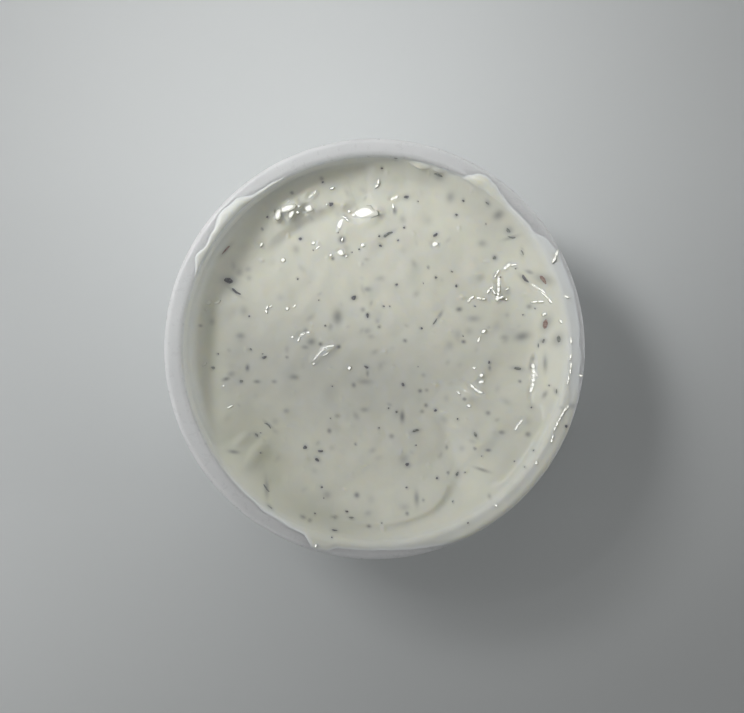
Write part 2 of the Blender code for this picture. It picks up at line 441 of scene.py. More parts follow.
@dataclass(frozen=True)
class FleckFinish:
    """Wet chopped herb, pepper or shred: a dark colour with a lighter one through it."""

    name: str
    colour: tuple
    lighter: tuple
    roughness: float = 0.38

    def material(self) -> bpy.types.Material:
        """The material of one kind of fleck."""
        recipe = Recipe(self.name)
        recipe.sockets(Roughness=self.roughness, Coat_Weight=0.4, Coat_Roughness=0.08)
        patches = recipe.spanned(recipe.noise(0.5 * MM, 3.0), (0.4, 0.7), (0.0, 1.0))
        recipe.link(recipe.mixed(patches, self.colour, self.lighter), recipe.shader.inputs["Base Color"])
        recipe.bump(recipe.noise(0.25 * MM, 2.0), 0.03 * MM)
        return recipe.done()


@dataclass(frozen=True)
class FloorFinish:
    """A plain pale table."""

    colour: tuple = (0.60, 0.62, 0.62)
    roughness: float = 0.55

    def material(self) -> bpy.types.Material:
        """The material of the floor."""
        recipe = Recipe("pale_floor")
        recipe.sockets(Base_Color=(*self.colour, 1.0), Roughness=self.roughness)
        return recipe.done()


# ---------------------------------------------------------------- the tub


@dataclass(frozen=True)
class Corner:
    """A corner of a turned section: its radius, height and rounding."""

    r: float
    z: float
    rounding: float = 0.0


def shifted(corners: list, distance: float) -> list:
    """The corners of the path that runs at a distance to the right of another.

    Args:
        corners: The corners of the path.
        distance: How far to the right, negative for left.

    Returns:
        The mitred corners. A rounding grows by the distance where the path turns left, and shrinks where it
        turns right, so that the two paths stay parallel round the arcs.
    """
    places = np.array([(corner.r, corner.z) for corner in corners])
    ways = np.diff(places, axis=0)
    ways /= np.linalg.norm(ways, axis=1, keepdims=True)
    ways_in = np.vstack((ways[:1], ways))
    ways_out = np.vstack((ways, ways[-1:]))
    rights_in, rights_out = (np.stack((way[:, 1], -way[:, 0]), axis=1) for way in (ways_in, ways_out))
    lengths = distance / (1.0 + (rights_in * rights_out).sum(axis=1))
    moved = places + (rights_in + rights_out) * lengths[:, None]
    turns = np.sign(ways_in[:, 0] * ways_out[:, 1] - ways_in[:, 1] * ways_out[:, 0])
    return [
        Corner(r, z, corner.rounding + distance * turn if corner.rounding else 0.0)
        for (r, z), turn, corner in zip(moved, turns, corners)
    ]


def rounded(corners: list, step: float) -> np.ndarray:
    """The points of a path whose corners are tangent arcs.

    Args:
        corners: The corners of the path.
        step: The most that an arc turns from point to point, in radians.

    Returns:
        Points (r, z): the corner itself, or points on a circle of the rounding whose centre lies on the
        corner's bisector.
    """
    pieces = []
    for index, corner in enumerate(corners):
        place = np.array((corner.r, corner.z))
        if corner.rounding <= 0.0:
            pieces.append(place[None])
            continue
        back, ahead = (
            np.array((other.r, other.z)) - place for other in (corners[index - 1], corners[index + 1])
        )
        back, ahead = back / np.linalg.norm(back), ahead / np.linalg.norm(ahead)
        half = math.acos(float(np.clip(back @ ahead, -1.0, 1.0))) / 2.0
        bisector = (back + ahead) / np.linalg.norm(back + ahead)
        centre = place + bisector * corner.rounding / math.sin(half)
        first, last = (place + way * corner.rounding / math.tan(half) - centre for way in (back, ahead))
        start = math.atan2(first[1], first[0])
        sweep = math.remainder(math.atan2(last[1], last[0]) - start, TAU)
        angles = start + sweep * np.linspace(0.0, 1.0, 2 + int(abs(sweep) / step))
        pieces.append(centre + corner.rounding * np.stack((np.cos(angles), np.sin(angles)), axis=1))
    return np.vstack(pieces)


@dataclass
class Tub:
    """The moulded tub: one wall thickness, a raised floor panel, a stacking step and a rolled snap lip."""

    height: float = CAD_BOX[1].z
    rim_radius: float = CAD_BOX[1].x
    wall: float = 1.0 * MM
    panel_radius: float = 39.8 * MM
    panel_top: float = 2.4 * MM
    moat_radius: float = 41.2 * MM
    step_radius: float = 52.6 * MM
    step_drop: float = 7.2 * MM
    neck_radius: float = 53.7 * MM
    neck_drop: float = 6.0 * MM
    lip_radius: float = 53.9 * MM
    lip_round: float = 1.4 * MM
    rim_round: float = 1.55 * MM
    skirt_drop: float = 5.2 * MM
    taper: float = math.tan(math.radians(8.0))
    facets: int = 288
    finish: PlasticFinish = field(default_factory=PlasticFinish)

    def inner_corners(self) -> list:
        """The corners of the inner face, from the axis over the floor, up the wall and over the lip."""
        wall_foot = self.step_radius - self.taper * (self.height - self.step_drop - self.wall)
        return [
            Corner(0.0, self.panel_top),
            Corner(self.panel_radius, self.panel_top, 1.3 * MM),
            Corner(self.moat_radius, self.wall, 0.8 * MM),
            Corner(wall_foot, self.wall, 3.0 * MM),
            Corner(self.step_radius, self.height - self.step_drop, 1.4 * MM),
            Corner(self.neck_radius, self.height - self.neck_drop, 0.8 * MM),
            Corner(self.lip_radius, self.height, self.lip_round),
            Corner(self.rim_radius, self.height, self.rim_round),
            Corner(self.rim_radius, self.height - self.skirt_drop),
        ]

    def build(self) -> bpy.types.Object:
        """The tub's mesh: the section between the two parallel faces, carried round the axis.

        Returns:
            The piece, a surface of the place along the section and the azimuth.
        """
        step = math.radians(9.0)
        inner = rounded(self.inner_corners(), step)
        outer = rounded(shifted(self.inner_corners(), self.wall), step)
        hem = self.skirt_hem(inner[-1], outer[-1])
        section = np.vstack((inner[1:], hem, outer[:0:-1]))
        azimuth = np.arange(self.facets) * TAU / self.facets
        turned = np.stack(
            (
                section[:, 0, None] * np.cos(azimuth),
                section[:, 0, None] * np.sin(azimuth),
                np.repeat(section[:, 1, None], self.facets, axis=1),
            ),
            axis=-1,
        )
        poles = np.array(((0.0, 0.0, inner[0, 1]), (0.0, 0.0, outer[0, 1])))
        count = turned.shape[0] * self.facets
        first_ring = np.arange(self.facets)
        last_ring = first_ring + count - self.facets
        faces = [
            grid_quads(len(section), self.facets, wraps=True),
            fan(first_ring[::-1], count),
            fan(last_ring, count + 1),
        ]
        piece = make_piece("tub_shell", np.vstack((turned.reshape(-1, 3), poles)), faces)
        piece.data.materials.append(self.finish.material())
        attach(piece, "root")
        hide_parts("tub")
        return piece

    def skirt_hem(self, inner_end: np.ndarray, outer_end: np.ndarray) -> np.ndarray:
        """The half round at the skirt's lower edge, whose diameter joins the two faces."""
        centre = (inner_end + outer_end) / 2.0
        radius = np.linalg.norm(inner_end - outer_end) / 2.0
        angles = np.linspace(0.0, -math.pi, 7)[1:-1]
        return centre + radius * np.stack((np.cos(angles), np.sin(angles) * 0.6), axis=1)


@dataclass
class InnerFace:
    """The tub's inner face as a line to lay things on: places along it are lengths from its start."""

    tub: Tub

    def __post_init__(self) -> None:
        """Works out the line's points, lengths and normals."""
        self.line = rounded(self.tub.inner_corners(), math.radians(6.0))
        steps = np.diff(self.line, axis=0)
        self.along = np.concatenate(([0.0], np.cumsum(np.hypot(*steps.T))))
        ways = np.gradient(self.line, self.along, axis=0)
        ways /= np.linalg.norm(ways, axis=1, keepdims=True)
        self.normals = np.stack((-ways[:, 1], ways[:, 0]), axis=1)
        top = int(np.argmax(self.line[:, 1]))
        rising = np.arange(int(np.argmin(self.line[:top, 1])) + 1, top)
        self.rising = rising[np.concatenate(([True], np.diff(self.line[rising, 1]) > 0.0))]
        self.lip = float(self.at_height(np.array(self.tub.height - self.tub.lip_round)))

    def at_height(self, height: np.ndarray) -> np.ndarray:
        """The place along the wall that has a height."""
        return np.interp(height, self.line[self.rising, 1], self.along[self.rising])

    def raised(self, place: np.ndarray, lift: np.ndarray) -> tuple[np.ndarray, np.ndarray]:
        """The radius and height of points at a place along the face, lifted off it along its normal."""
        radius, height = (
            np.interp(place, self.along, self.line[:, way])
            + lift * np.interp(place, self.along, self.normals[:, way])
            for way in (0, 1)
        )
        return radius, height


# ---------------------------------------------------------------- the dip's forms


@dataclass(frozen=True)
class Swell:
    """A lump, or a hollow if its height is negative: an oval bump exp(-q^p), q being the oval distance."""

    x: float
    y: float
    height: float
    length: float
    width: float = 0.0
    turn: float = 0.0
    power: float = 2.0

    def at(self, x: np.ndarray, y: np.ndarray) -> np.ndarray:
        """The height that it adds at some places, everything in metres."""
        c, s = math.cos(math.radians(self.turn)), math.sin(math.radians(self.turn))
        east, north = x - self.x * MM, y - self.y * MM
        along = (east * c + north * s) / (self.length * MM)
        across = (north * c - east * s) / ((self.width or self.length) * MM)
        return self.height * MM * np.exp(-(np.hypot(along, across) ** self.power))


@dataclass(frozen=True)
class Glint:
    """A small wet bead of the dip whose flat top faces half way between straight up and the window.

    Its place, length, width, direction and the bend of its length, in millimetres and degrees.
    """

    x: float
    y: float
    length: float
    width: float
    turn: float = 0.0
    bend: float = 0.0

    def wanted(self) -> np.ndarray:
        """The slopes of such a top along X and Y. They change over the dip, because the window is near."""
        return np.array((0.322 + 0.003 * self.x, -0.258 + 0.003 * self.y))

    def facets(self, step: float = 1.3) -> list:
        """The glint as straight beads no longer than that step, along the parabola of its bend."""
        count = 1 if self.width > 1.2 else max(1, round(self.length / step))
        c, s = math.cos(math.radians(self.turn)), math.sin(math.radians(self.turn))
        found = []
        for index in range(count):
            share = (index + 0.5) / count - 0.5
            along, across = share * self.length, self.bend * (1.0 - 4.0 * share * share)
            turn = self.turn - math.degrees(math.atan(8.0 * self.bend * share / self.length))
            place = (self.x + along * c - across * s, self.y + along * s + across * c)
            found.append(Glint(*place, self.length / count * (1.3 if count > 1 else 1.0), self.width, turn))
        return found

    def cushioned(self) -> bool:
        """Whether the dip rises or dips under the bead, as it does under the large ones."""
        return self.length * self.width > 1.4

    def ovals(self, x: np.ndarray, y: np.ndarray) -> tuple:
        """The lengths along and across its turn, and its broad and narrow ovals, exp(-q^6) each."""
        c, s = math.cos(math.radians(self.turn)), math.sin(math.radians(self.turn))
        east, north = x - self.x * MM, y - self.y * MM
        along, across = east * c + north * s, north * c - east * s
        length, width = max(0.8 * self.length, 1.0) * MM, max(0.8 * self.width, 1.0) * MM
        broad = np.exp(-(np.hypot(along / length, across / max(width, 0.6 * length)) ** 6.0))
        narrow = np.exp(-(np.hypot(along / length, across / width) ** 6.0))
        return along, across, broad, narrow

    def pressed(self, x: np.ndarray, y: np.ndarray, height: np.ndarray, plane: np.ndarray) -> np.ndarray:
        """The surface with a cushion for the bead in it.

        Args:
            x: Places along X.
            y: Places along Y.
            height: The surface before.
            plane: Its height and its slopes along X and Y at the bead's middle.

        Returns:
            height + 0.8 (gu u B + (gv v + tangent - height) N): u and v are the lengths along and across,
            gu and gv the missing slopes along them, B and N the broad and narrow ovals, tangent the
            surface's plane.
        """
        along, across, broad, narrow = self.ovals(x, y)
        c, s = math.cos(math.radians(self.turn)), math.sin(math.radians(self.turn))
        missing = self.wanted() - plane[1:]
        tangent = plane[0] + plane[1] * (x - self.x * MM) + plane[2] * (y - self.y * MM)
        facing = (missing[1] * c - missing[0] * s) * across + tangent - height
        return height + 0.8 * ((missing[0] * c + missing[1] * s) * along * broad + facing * narrow)


@dataclass(frozen=True)
class LipLump:
    """A lump in the film on the lip: an oval bump, in millimetres and degrees round the tub."""

    azimuth: float
    place: float
    lift: float
    length: float
    width: float
    turn: float = 0.0

    def at(self, azimuth: np.ndarray, beyond: np.ndarray, radius: float) -> np.ndarray:
        """The lift that it adds.

        Args:
            azimuth: Azimuths.
            beyond: Lengths from the start of the lip, outwards.
            radius: The radius at which azimuths become lengths.

        Returns:
            lift exp(-q^2), q being the oval distance on the unrolled lip, the length lying along the lip.
        """
        away = np.remainder(azimuth - math.radians(self.azimuth) + math.pi, TAU) - math.pi
        oval = Swell(0.0, self.place, self.lift, self.length, self.width, self.turn)
        return oval.at(away * radius, beyond)


def curve_through(controls: tuple, steps: int) -> np.ndarray:
    """Points along a smooth curve through some places.

    Args:
        controls: The places that the curve passes through.
        steps: Number of points from one place to the next.

    Returns:
        The Catmull-Rom curve: between two places, the cubic whose ends have the slopes of the lines between
        the places on either side.
    """
    places = np.array((controls[0], *controls, controls[-1]), float)
    t = np.linspace(0.0, 1.0, steps, endpoint=False)[:, None]
    spans = []
    for p0, p1, p2, p3 in zip(places, places[1:], places[2:], places[3:]):
        cubic = (3.0 * p1 - 3.0 * p2 + p3 - p0) * t**3 + (2.0 * p0 - 5.0 * p1 + 4.0 * p2 - p3) * t**2
        spans.append(p1 + 0.5 * (cubic + (p2 - p0) * t))
    return np.vstack((*spans, places[-1:]))


@dataclass(frozen=True)
class Fold:
    """A fold left by the spoon, along a curve: a crest with unlike sides, and a trough beside it.

    Sizes are in millimetres. Left and right are as seen when going along the curve.
    """

    controls: tuple
    height: float
    left_reach: float
    right_reach: float
    trough_place: float = 0.0
    trough_depth: float = 0.0
    trough_reach: float = 1.0

    def at(self, x: np.ndarray, y: np.ndarray) -> np.ndarray:
        """The height that the fold adds at some places.

        Args:
            x: Places along X.
            y: Places along Y.

        Returns:
            height exp(-(d / reach)^2), d being the distance from the crest line, less the trough's
            depth exp(-((a - place) / reach)^2), a being the signed distance. Both fade to the line's ends.
        """
        line = curve_through(self.controls, 12) * MM
        best = np.full(x.shape, np.inf)
        signed, share = np.zeros(x.shape), np.zeros(x.shape)
        for index, (start, end) in enumerate(zip(line, line[1:])):
            way = end - start
            length = float(np.hypot(*way))
            east, north = x - start[0], y - start[1]
            along = np.clip((east * way[0] + north * way[1]) / length**2, 0.0, 1.0)
            miss = np.hypot(east - along * way[0], north - along * way[1])
            nearer = miss < best
            best = np.where(nearer, miss, best)
            signed = np.where(nearer, (way[0] * north - way[1] * east) / length, signed)
            share = np.where(nearer, (index + along) / (len(line) - 1), share)
        reach = np.where(signed > 0.0, self.left_reach, self.right_reach) * MM
        ends = np.sin(math.pi * np.clip(share, 0.0, 1.0)) ** 0.7
        beyond = np.maximum(best - np.abs(signed), 0.0) / (self.right_reach * MM)
        crest = self.height * MM * np.exp(-((best / reach) ** 2)) * (0.15 + 0.85 * ends)
        off = (signed - self.trough_place * MM) / (self.trough_reach * MM)
        trough = self.trough_depth * MM * np.exp(-(off**2) - beyond**2) * ends
        return crest - trough


@dataclass
class DipForm:
    """The shape of the dip's top, from its middle to the edge of the film that it leaves on the lip."""

    face: InnerFace
    field_share: float = 0.86
    middle_depth: float = 12.2 * MM
    bank_starts: tuple = ((0, 0.70), (300, 0.70), (318, 0.42), (335, 0.42), (352, 0.70))
    bank_powers: tuple = ((0, 3.2), (300, 3.2), (318, 1.2), (335, 1.2), (352, 3.2))
    contact_lift: float = 0.7 * MM
    meniscus: float = 1.2 * MM
    edge_width: float = 2.2 * MM
    edge_sink: float = 0.08 * MM
    shore_depths: tuple = (
        (0, 1.9), (45, 1.7), (58, 2.2), (72, 3.6), (89, 4.4), (94, 6.6), (132, 7.2), (162, 10.4),
        (196, 10.4), (206, 8.0), (222, 2.6), (240, 2.2), (290, 2.8), (306, 3.6), (340, 3.6),
    )
    film_ends: tuple = (
        (0, 5.2), (10, 5.2), (24, 5.4), (31, 5.2), (37, 3.0), (43, 2.8), (47, 2.4), (51, 3.0), (54, 4.0),
        (56.5, 4.6), (59, 4.0), (61, 2.8), (63, 1.2), (65, 0.7), (92, 0.0), (205, 0.0), (214, 0.7),
        (222, 1.1), (240, 1.9), (249, 2.4), (253, 5.2), (256, 5.2), (260, 3.4), (270, 3.4), (285, 4.4),
        (296, 6.4), (344, 6.4), (352, 5.4),
    )
    cream_ends: tuple = (
        (0, 0.9), (15, 0.9), (25, 1.2), (33, 1.2), (43, 1.9), (51, 2.6), (55, 9.0), (335, 9.0), (346, 3.0),
        (354, 1.2),
    )
    film_lifts: tuple = (
        (0, 0.25), (34, 0.25), (45, 0.25), (54, 0.5), (60, 0.5), (64, 0.3), (205, 0.2), (240, 0.22),
        (255, 0.6), (285, 0.4), (300, 0.4), (335, 0.4), (350, 0.25),
    )
    lip_lumps: tuple = (
        LipLump(57.0, 2.9, 0.5, 2.6, 1.3), LipLump(76.0, -1.2, 1.5, 2.6, 1.6),
        LipLump(70.5, -1.4, 0.8, 1.6, 1.2), LipLump(26.8, 3.2, 0.3, 1.6, 0.6, -30),
        LipLump(-20.5, 2.3, 0.35, 3.2, 0.8, -8), LipLump(220.0, 1.0, 0.45, 1.3, 0.8),
        LipLump(231.6, 0.7, 0.45, 1.6, 0.8), LipLump(240.6, 1.6, 0.5, 1.5, 0.9),
    )
    outer_bands: tuple = ((285, 0.0), (300, 0.35), (342, 0.35), (352, 0.0))
    folds: tuple = (
        Fold(((-32.5, 29.4), (-27.5, 34.2), (-20.0, 38.6), (-12.5, 42.0), (-6.0, 44.2)), 1.5, 5.0, 2.0),
        Fold(
            ((-12.0, -48.0), (1.0, -49.6), (13.0, -46.8), (18.6, -43.0), (20.6, -38.5)),
            1.2, 5.5, 1.3, -2.2, 0.5, 1.5,
        ),
        Fold(((16.5, -45.0), (20.4, -40.5), (23.4, -35.2), (29.2, -28.0), (37.0, -22.5)), 0.6, 4.0, 1.8),
        Fold(((-38.5, -36.0), (-36.0, -32.2), (-34.2, -29.2), (-31.5, -26.4)), 0.9, 1.2, 1.8, -4.4, 0.8, 3.2),
    )
    swells: tuple = (
        Swell(8.0, -45.0, 2.3, 17.0, 6.2, 12),
        Swell(-38.4, -26.2, 0.7, 2.2, 1.2, 40),
        Swell(-29.0, -38.5, -0.8, 4.5, 3.0, -60, 2.4),
        Swell(-6.0, 36.0, 1.6, 16.0, 9.0, 10),
        Swell(14.0, 30.0, 1.2, 18.0, 12.0, 0),
        Swell(39.0, 19.0, 0.5, 6.5, 5.0, 20, 3.0),
        Swell(46.2, 23.4, 0.6, 1.8),
        Swell(-25.5, 40.2, 2.4, 5.5, 3.6, 25),
        Swell(-44.5, 12.5, 1.2, 4.0, 5.0),
        Swell(-18.0, 44.5, 0.9, 4.0, 2.5, 30),
        Swell(30.0, -10.0, 0.4, 4.6, 3.2, 60),
        Swell(27.7, -14.2, 0.3, 2.4),
        Swell(-15.0, -1.0, 0.5, 3.0, 1.5, 28, 2.6),
        Swell(-1.2, 37.6, 0.5, 3.4, 2.4, 20, 3.0),
        Swell(-8.0, 35.6, 0.4, 2.2, 1.6, 55),
        Swell(12.6, 50.6, 1.3, 2.8, 1.5, -12, 2.4),
        Swell(4.0, -20.0, -0.7, 17.0, 12.0, 10),
        Swell(-42.0, 4.0, 0.4, 5.0),
    )
    glints: tuple = (
        Glint(-27.5, 38.5, 2.6, 1.7, 70), Glint(-25.3, 40.1, 5.1, 1.7, 12),
        Glint(-23.7, 38.9, 2.7, 1.3, 75), Glint(-19.0, 40.4, 2.3, 1.8, 10), Glint(-22.0, 39.1, 0.8, 0.7),
        Glint(-21.5, 40.8, 0.7, 0.6), Glint(-24.5, 42.4, 0.7, 0.7), Glint(-17.8, 44.3, 2.6, 0.6, 42),
        Glint(-12.2, 46.3, 1.3, 0.6, 20), Glint(-13.8, 41.7, 0.7, 0.5), Glint(-3.1, 39.4, 7.0, 2.8, 4),
        Glint(-7.3, 39.9, 0.9, 0.8), Glint(-6.0, 38.8, 1.1, 1.0), Glint(-9.9, 36.3, 3.4, 1.6, 60),
        Glint(-8.4, 37.7, 2.0, 0.5, -40, 0.2), Glint(-9.3, 31.7, 1.1, 0.5, 90),
        Glint(-9.8, 28.0, 2.1, 1.5, 5), Glint(-12.6, 27.3, 0.8, 0.7), Glint(-8.1, 26.9, 0.7, 0.6),
        Glint(-3.4, 30.1, 1.1, 0.9), Glint(-17.7, 30.8, 1.1, 1.0), Glint(-16.4, 29.5, 1.3, 0.6, 30),
        Glint(-32.7, 30.3, 1.2, 0.8, 60), Glint(-26.5, 25.9, 1.2, 1.1),
        Glint(-31.1, 11.6, 2.0, 0.6, 80, 0.3), Glint(-30.2, 12.4, 0.9, 0.5, 30),
        Glint(-25.4, 11.8, 1.1, 0.9, 30), Glint(-23.3, 12.5, 1.3, 0.5, 45),
        Glint(-21.5, 3.3, 2.2, 0.6, 60, 0.3), Glint(-20.1, 4.5, 2.9, 0.5, 18, 0.2),
        Glint(-13.6, 0.5, 3.6, 0.5, 15, 0.3), Glint(-47.8, 13.4, 1.1, 1.0),
        Glint(-45.4, 13.6, 1.7, 0.7, 20), Glint(-48.7, 11.4, 0.7, 0.6), Glint(-23.8, 3.6, 0.7, 0.7),
        Glint(0.7, 47.7, 2.2, 0.6, 70, -0.3), Glint(5.7, 43.7, 2.1, 0.7, 22),
        Glint(5.4, 41.4, 1.2, 0.6, 100), Glint(17.5, 30.4, 1.7, 1.3, 10), Glint(38.3, 23.9, 2.0, 1.1, 40),
        Glint(40.1, 24.2, 1.7, 0.5, 5, 0.1), Glint(35.5, 22.0, 2.3, 0.5, 64),
        Glint(36.0, 18.9, 4.3, 0.9, 88), Glint(35.7, 15.6, 2.8, 1.0, 80), Glint(36.7, 15.0, 1.5, 0.6, 15),
        Glint(38.0, 14.7, 1.2, 0.6, -30), Glint(33.6, 17.2, 2.2, 0.6, 50, 0.3),
        Glint(34.6, 16.6, 1.5, 0.5, -60), Glint(28.0, 14.5, 2.2, 0.6, 45, 0.2),
        Glint(30.9, 14.9, 2.2, 0.6, -12, -0.2), Glint(46.8, 17.3, 4.1, 0.5, -38),
        Glint(48.8, 14.6, 3.9, 0.5, -52, 0.1), Glint(46.8, 13.6, 2.8, 0.5), Glint(31.7, 5.2, 1.4, 0.9, 30),
        Glint(30.3, 2.8, 1.6, 0.6, 60), Glint(38.5, 17.5, 1.0, 0.5, 30), Glint(48.5, 10.0, 1.3, 0.7, 40),
        Glint(50.2, 25.6, 3.2, 0.7, 66), Glint(53.3, 14.5, 1.6, 0.5, -20), Glint(54.6, 2.4, 1.7, 0.5, 90),
        Glint(52.2, 7.7, 1.1, 0.5, -60), Glint(-16.8, -2.1, 3.1, 0.5, 50), Glint(-15.4, -0.7, 2.3, 0.5, 42),
        Glint(-14.1, -1.4, 1.8, 0.5, 32), Glint(-17.6, -4.2, 0.7, 0.7), Glint(-7.3, -5.4, 1.1, 1.0),
        Glint(-43.8, -10.6, 0.7, 0.6), Glint(-41.9, -16.7, 1.7, 0.6, 28), Glint(-49.3, -4.4, 1.5, 0.6, 30),
        Glint(-16.3, -54.6, 0.8, 0.5, 80), Glint(29.0, -5.4, 0.8, 0.7), Glint(31.0, -7.5, 1.2, 1.1),
        Glint(30.9, -9.5, 1.5, 1.0, 20), Glint(29.5, -11.4, 3.8, 0.7, -38, -0.3),
        Glint(24.3, -12.6, 1.3, 0.5, -40), Glint(27.2, -16.3, 1.0, 1.0),
        Glint(45.4, -8.2, 8.1, 1.1, 83, -0.5), Glint(46.6, -7.1, 1.8, 0.5, -76),
        Glint(40.9, -21.5, 3.2, 0.6, 54), Glint(54.5, -2.2, 1.7, 0.5, 80), Glint(54.5, -5.3, 2.6, 0.5, 84),
        Glint(53.8, -8.6, 2.3, 0.5, 76), Glint(57.3, -7.4, 0.9, 0.6), Glint(53.5, -16.1, 0.8, 0.8),
        Glint(51.5, -19.5, 7.1, 0.6, 62, 0.2), Glint(49.3, -24.9, 2.0, 0.4, 75),
        Glint(44.9, -31.6, 0.9, 0.7), Glint(33.7, -43.5, 0.8, 0.6),
    )
    coarse: Ripples = Ripples(11, 9.0 * MM)
    medium: Ripples = Ripples(12, 3.4 * MM)
    fine: Ripples = Ripples(13, 1.5 * MM)
    ragged: Ripples = Ripples(14, 7.0 * MM)

    def shore_height(self, azimuth: np.ndarray) -> np.ndarray:
        """The height at which the thick dip meets the wall."""
        return self.face.tub.height - round_the_tub(self.shore_depths, azimuth) * MM

    def film_end(self, azimuth: np.ndarray) -> np.ndarray:
        """The place along the tub's face where the film ends: eased stations, made ragged by ripples."""
        east, north = np.cos(azimuth) * 0.055, np.sin(azimuth) * 0.055
        ragged = 0.14 * MM * self.ragged.at(east, north) + 0.03 * MM * self.medium.at(east, north)
        end = self.face.lip + round_the_tub(self.film_ends, azimuth) * MM + ragged
        low = self.face.at_height(self.shore_height(azimuth)) + self.meniscus
        return np.maximum(end, low)

    def film_lift(self, azimuth: np.ndarray, place: np.ndarray, share: np.ndarray) -> np.ndarray:
        """The film's thickness.

        Args:
            azimuth: Azimuths.
            place: Places along the tub's face.
            share: The share of the way from the shore to the film's end.

        Returns:
            The contact's lift, falling exponentially to the film's own, which is thin beyond the cream's end,
            plus a band near the lip's outer edge and the lumps on the lip. A shoulder t^2 (3 - 2t) ends it,
            and the very edge lies just under the plastic.
        """
        own = round_the_tub(self.film_lifts, azimuth) * MM
        band = round_the_tub(self.outer_bands, azimuth) * MM
        beyond = place - self.face.lip
        radius, _ = self.face.raised(place, np.zeros(place.shape))
        uneven = 1.0 + 0.15 * self.ragged.at(radius * np.cos(azimuth), radius * np.sin(azimuth))
        cream = round_the_tub(self.cream_ends, azimuth) * MM
        own = own + (0.05 * MM - own) * eased(-0.5 * MM, 0.5 * MM, beyond - cream)
        lift = own * np.clip(uneven, 0.35, 1.8) + band * np.exp(-(((beyond - 4.0 * MM) / (1.0 * MM)) ** 2))
        lift = lift + (self.contact_lift - own) * np.exp(-share / 0.18)
        for lump in self.lip_lumps:
            lift = lift + lump.at(azimuth, beyond, self.face.tub.lip_radius)
        left = np.clip((self.film_end(azimuth) - place) / self.edge_width, 0.0, 1.0)
        return lift * eased(0.0, 1.0, left) - self.edge_sink * (1.0 - left) ** 3

    def dished(self, share: np.ndarray, azimuth: np.ndarray) -> np.ndarray:
        """The height of the smooth dish: a level middle, and a bank that rises as a power to the shore."""
        middle = self.face.tub.height - self.middle_depth
        start = round_the_tub(self.bank_starts, azimuth)
        bank = np.clip((share - start) / (1.0 - start), 0.0, 1.0) ** round_the_tub(self.bank_powers, azimuth)
        return middle + (self.shore_height(azimuth) - middle) * bank

    def relief(self, x: np.ndarray, y: np.ndarray) -> np.ndarray:
        """The height that the folds, lumps and broad ripples add."""
        total = 0.08 * MM * self.coarse.at(x, y)
        for form in (*self.folds, *self.swells):
            total = total + form.at(x, y)
        return total

    def contact_radius(self, azimuth: np.ndarray) -> np.ndarray:
        """The radius at which the thick dip meets the wall."""
        contact = self.face.at_height(self.shore_height(azimuth))
        return self.face.raised(contact, np.full(contact.shape, self.contact_lift))[0]

    def unlit_height(self, x: np.ndarray, y: np.ndarray) -> np.ndarray:
        """The height of the dish and its relief, which fades near the wall."""
        azimuth = np.arctan2(y, x)
        inside = np.hypot(x, y) / self.contact_radius(azimuth)
        return self.dished(inside, azimuth) + self.relief(x, y) * (1.0 - eased(0.93, 1.0, inside))

    def cushions(self) -> list:
        """Each large glint with the height and the slopes of the surface under it, one after another."""
        step = 0.3 * MM
        found = []
        for glint in self.glints:
            if not glint.cushioned():
                continue
            x = glint.x * MM + step * np.array((1.0, -1.0, 0.0, 0.0))
            y = glint.y * MM + step * np.array((0.0, 0.0, 1.0, -1.0))
            height = self.unlit_height(x, y)
            for other, plane in found:
                height = other.pressed(x, y, height, plane)
            slopes = (height[0] - height[1], height[2] - height[3])
            found.append((glint, np.array((height.mean(), *(slope / (2.0 * step) for slope in slopes)))))
        return found

    def points(self, share: np.ndarray, azimuth: np.ndarray) -> tuple[np.ndarray, np.ndarray]:
        """The top's points.

        Args:
            share: The share of the way from the middle to the film's end.
            azimuth: Azimuths.

        Returns:
            The places and the film's thickness. Up to field_share a point lies on the dish, and its relief
            fades just before the wall. From there on it lies on the tub's face, lifted by that thickness.
        """
        inside = np.minimum(share / self.field_share, 1.0)
        beyond = np.clip((share - self.field_share) / (1.0 - self.field_share), 0.0, 1.0)
        contact = self.face.at_height(self.shore_height(azimuth))
        radius = inside * self.contact_radius(azimuth)
        x, y = radius * np.cos(azimuth), radius * np.sin(azimuth)
        height = self.unlit_height(x, y)
        pressed = height
        for glint, plane in self.cushions():
            pressed = glint.pressed(x, y, pressed, plane)
        height = height + (pressed - height) * (1.0 - eased(0.95, 1.0, inside))
        place = contact + beyond * (self.film_end(azimuth) - contact)
        lift = self.film_lift(azimuth, place, beyond)
        film_radius, film_height = self.face.raised(place, lift)
        on_film = share > self.field_share
        radius = np.where(on_film, film_radius, radius)
        height = np.where(on_film, film_height, height)
        places = np.stack((radius * np.cos(azimuth), radius * np.sin(azimuth), height), axis=-1)
        return places, np.where(on_film, lift, 2.0 * MM)


# ---------------------------------------------------------------- the dip


@dataclass(frozen=True)
class Smudge:
    """An oval stain in millimetres, of herb, whey or painted shade, with a strength from 0 to 1."""

    x: float
    y: float
    strength: float
    length: float
    width: float = 0.0
    turn: float = 0.0

    def at(self, x: np.ndarray, y: np.ndarray) -> np.ndarray:
        """The stain's strength at some places."""
        return Swell(self.x, self.y, self.strength / MM, self.length, self.width, self.turn).at(x, y)


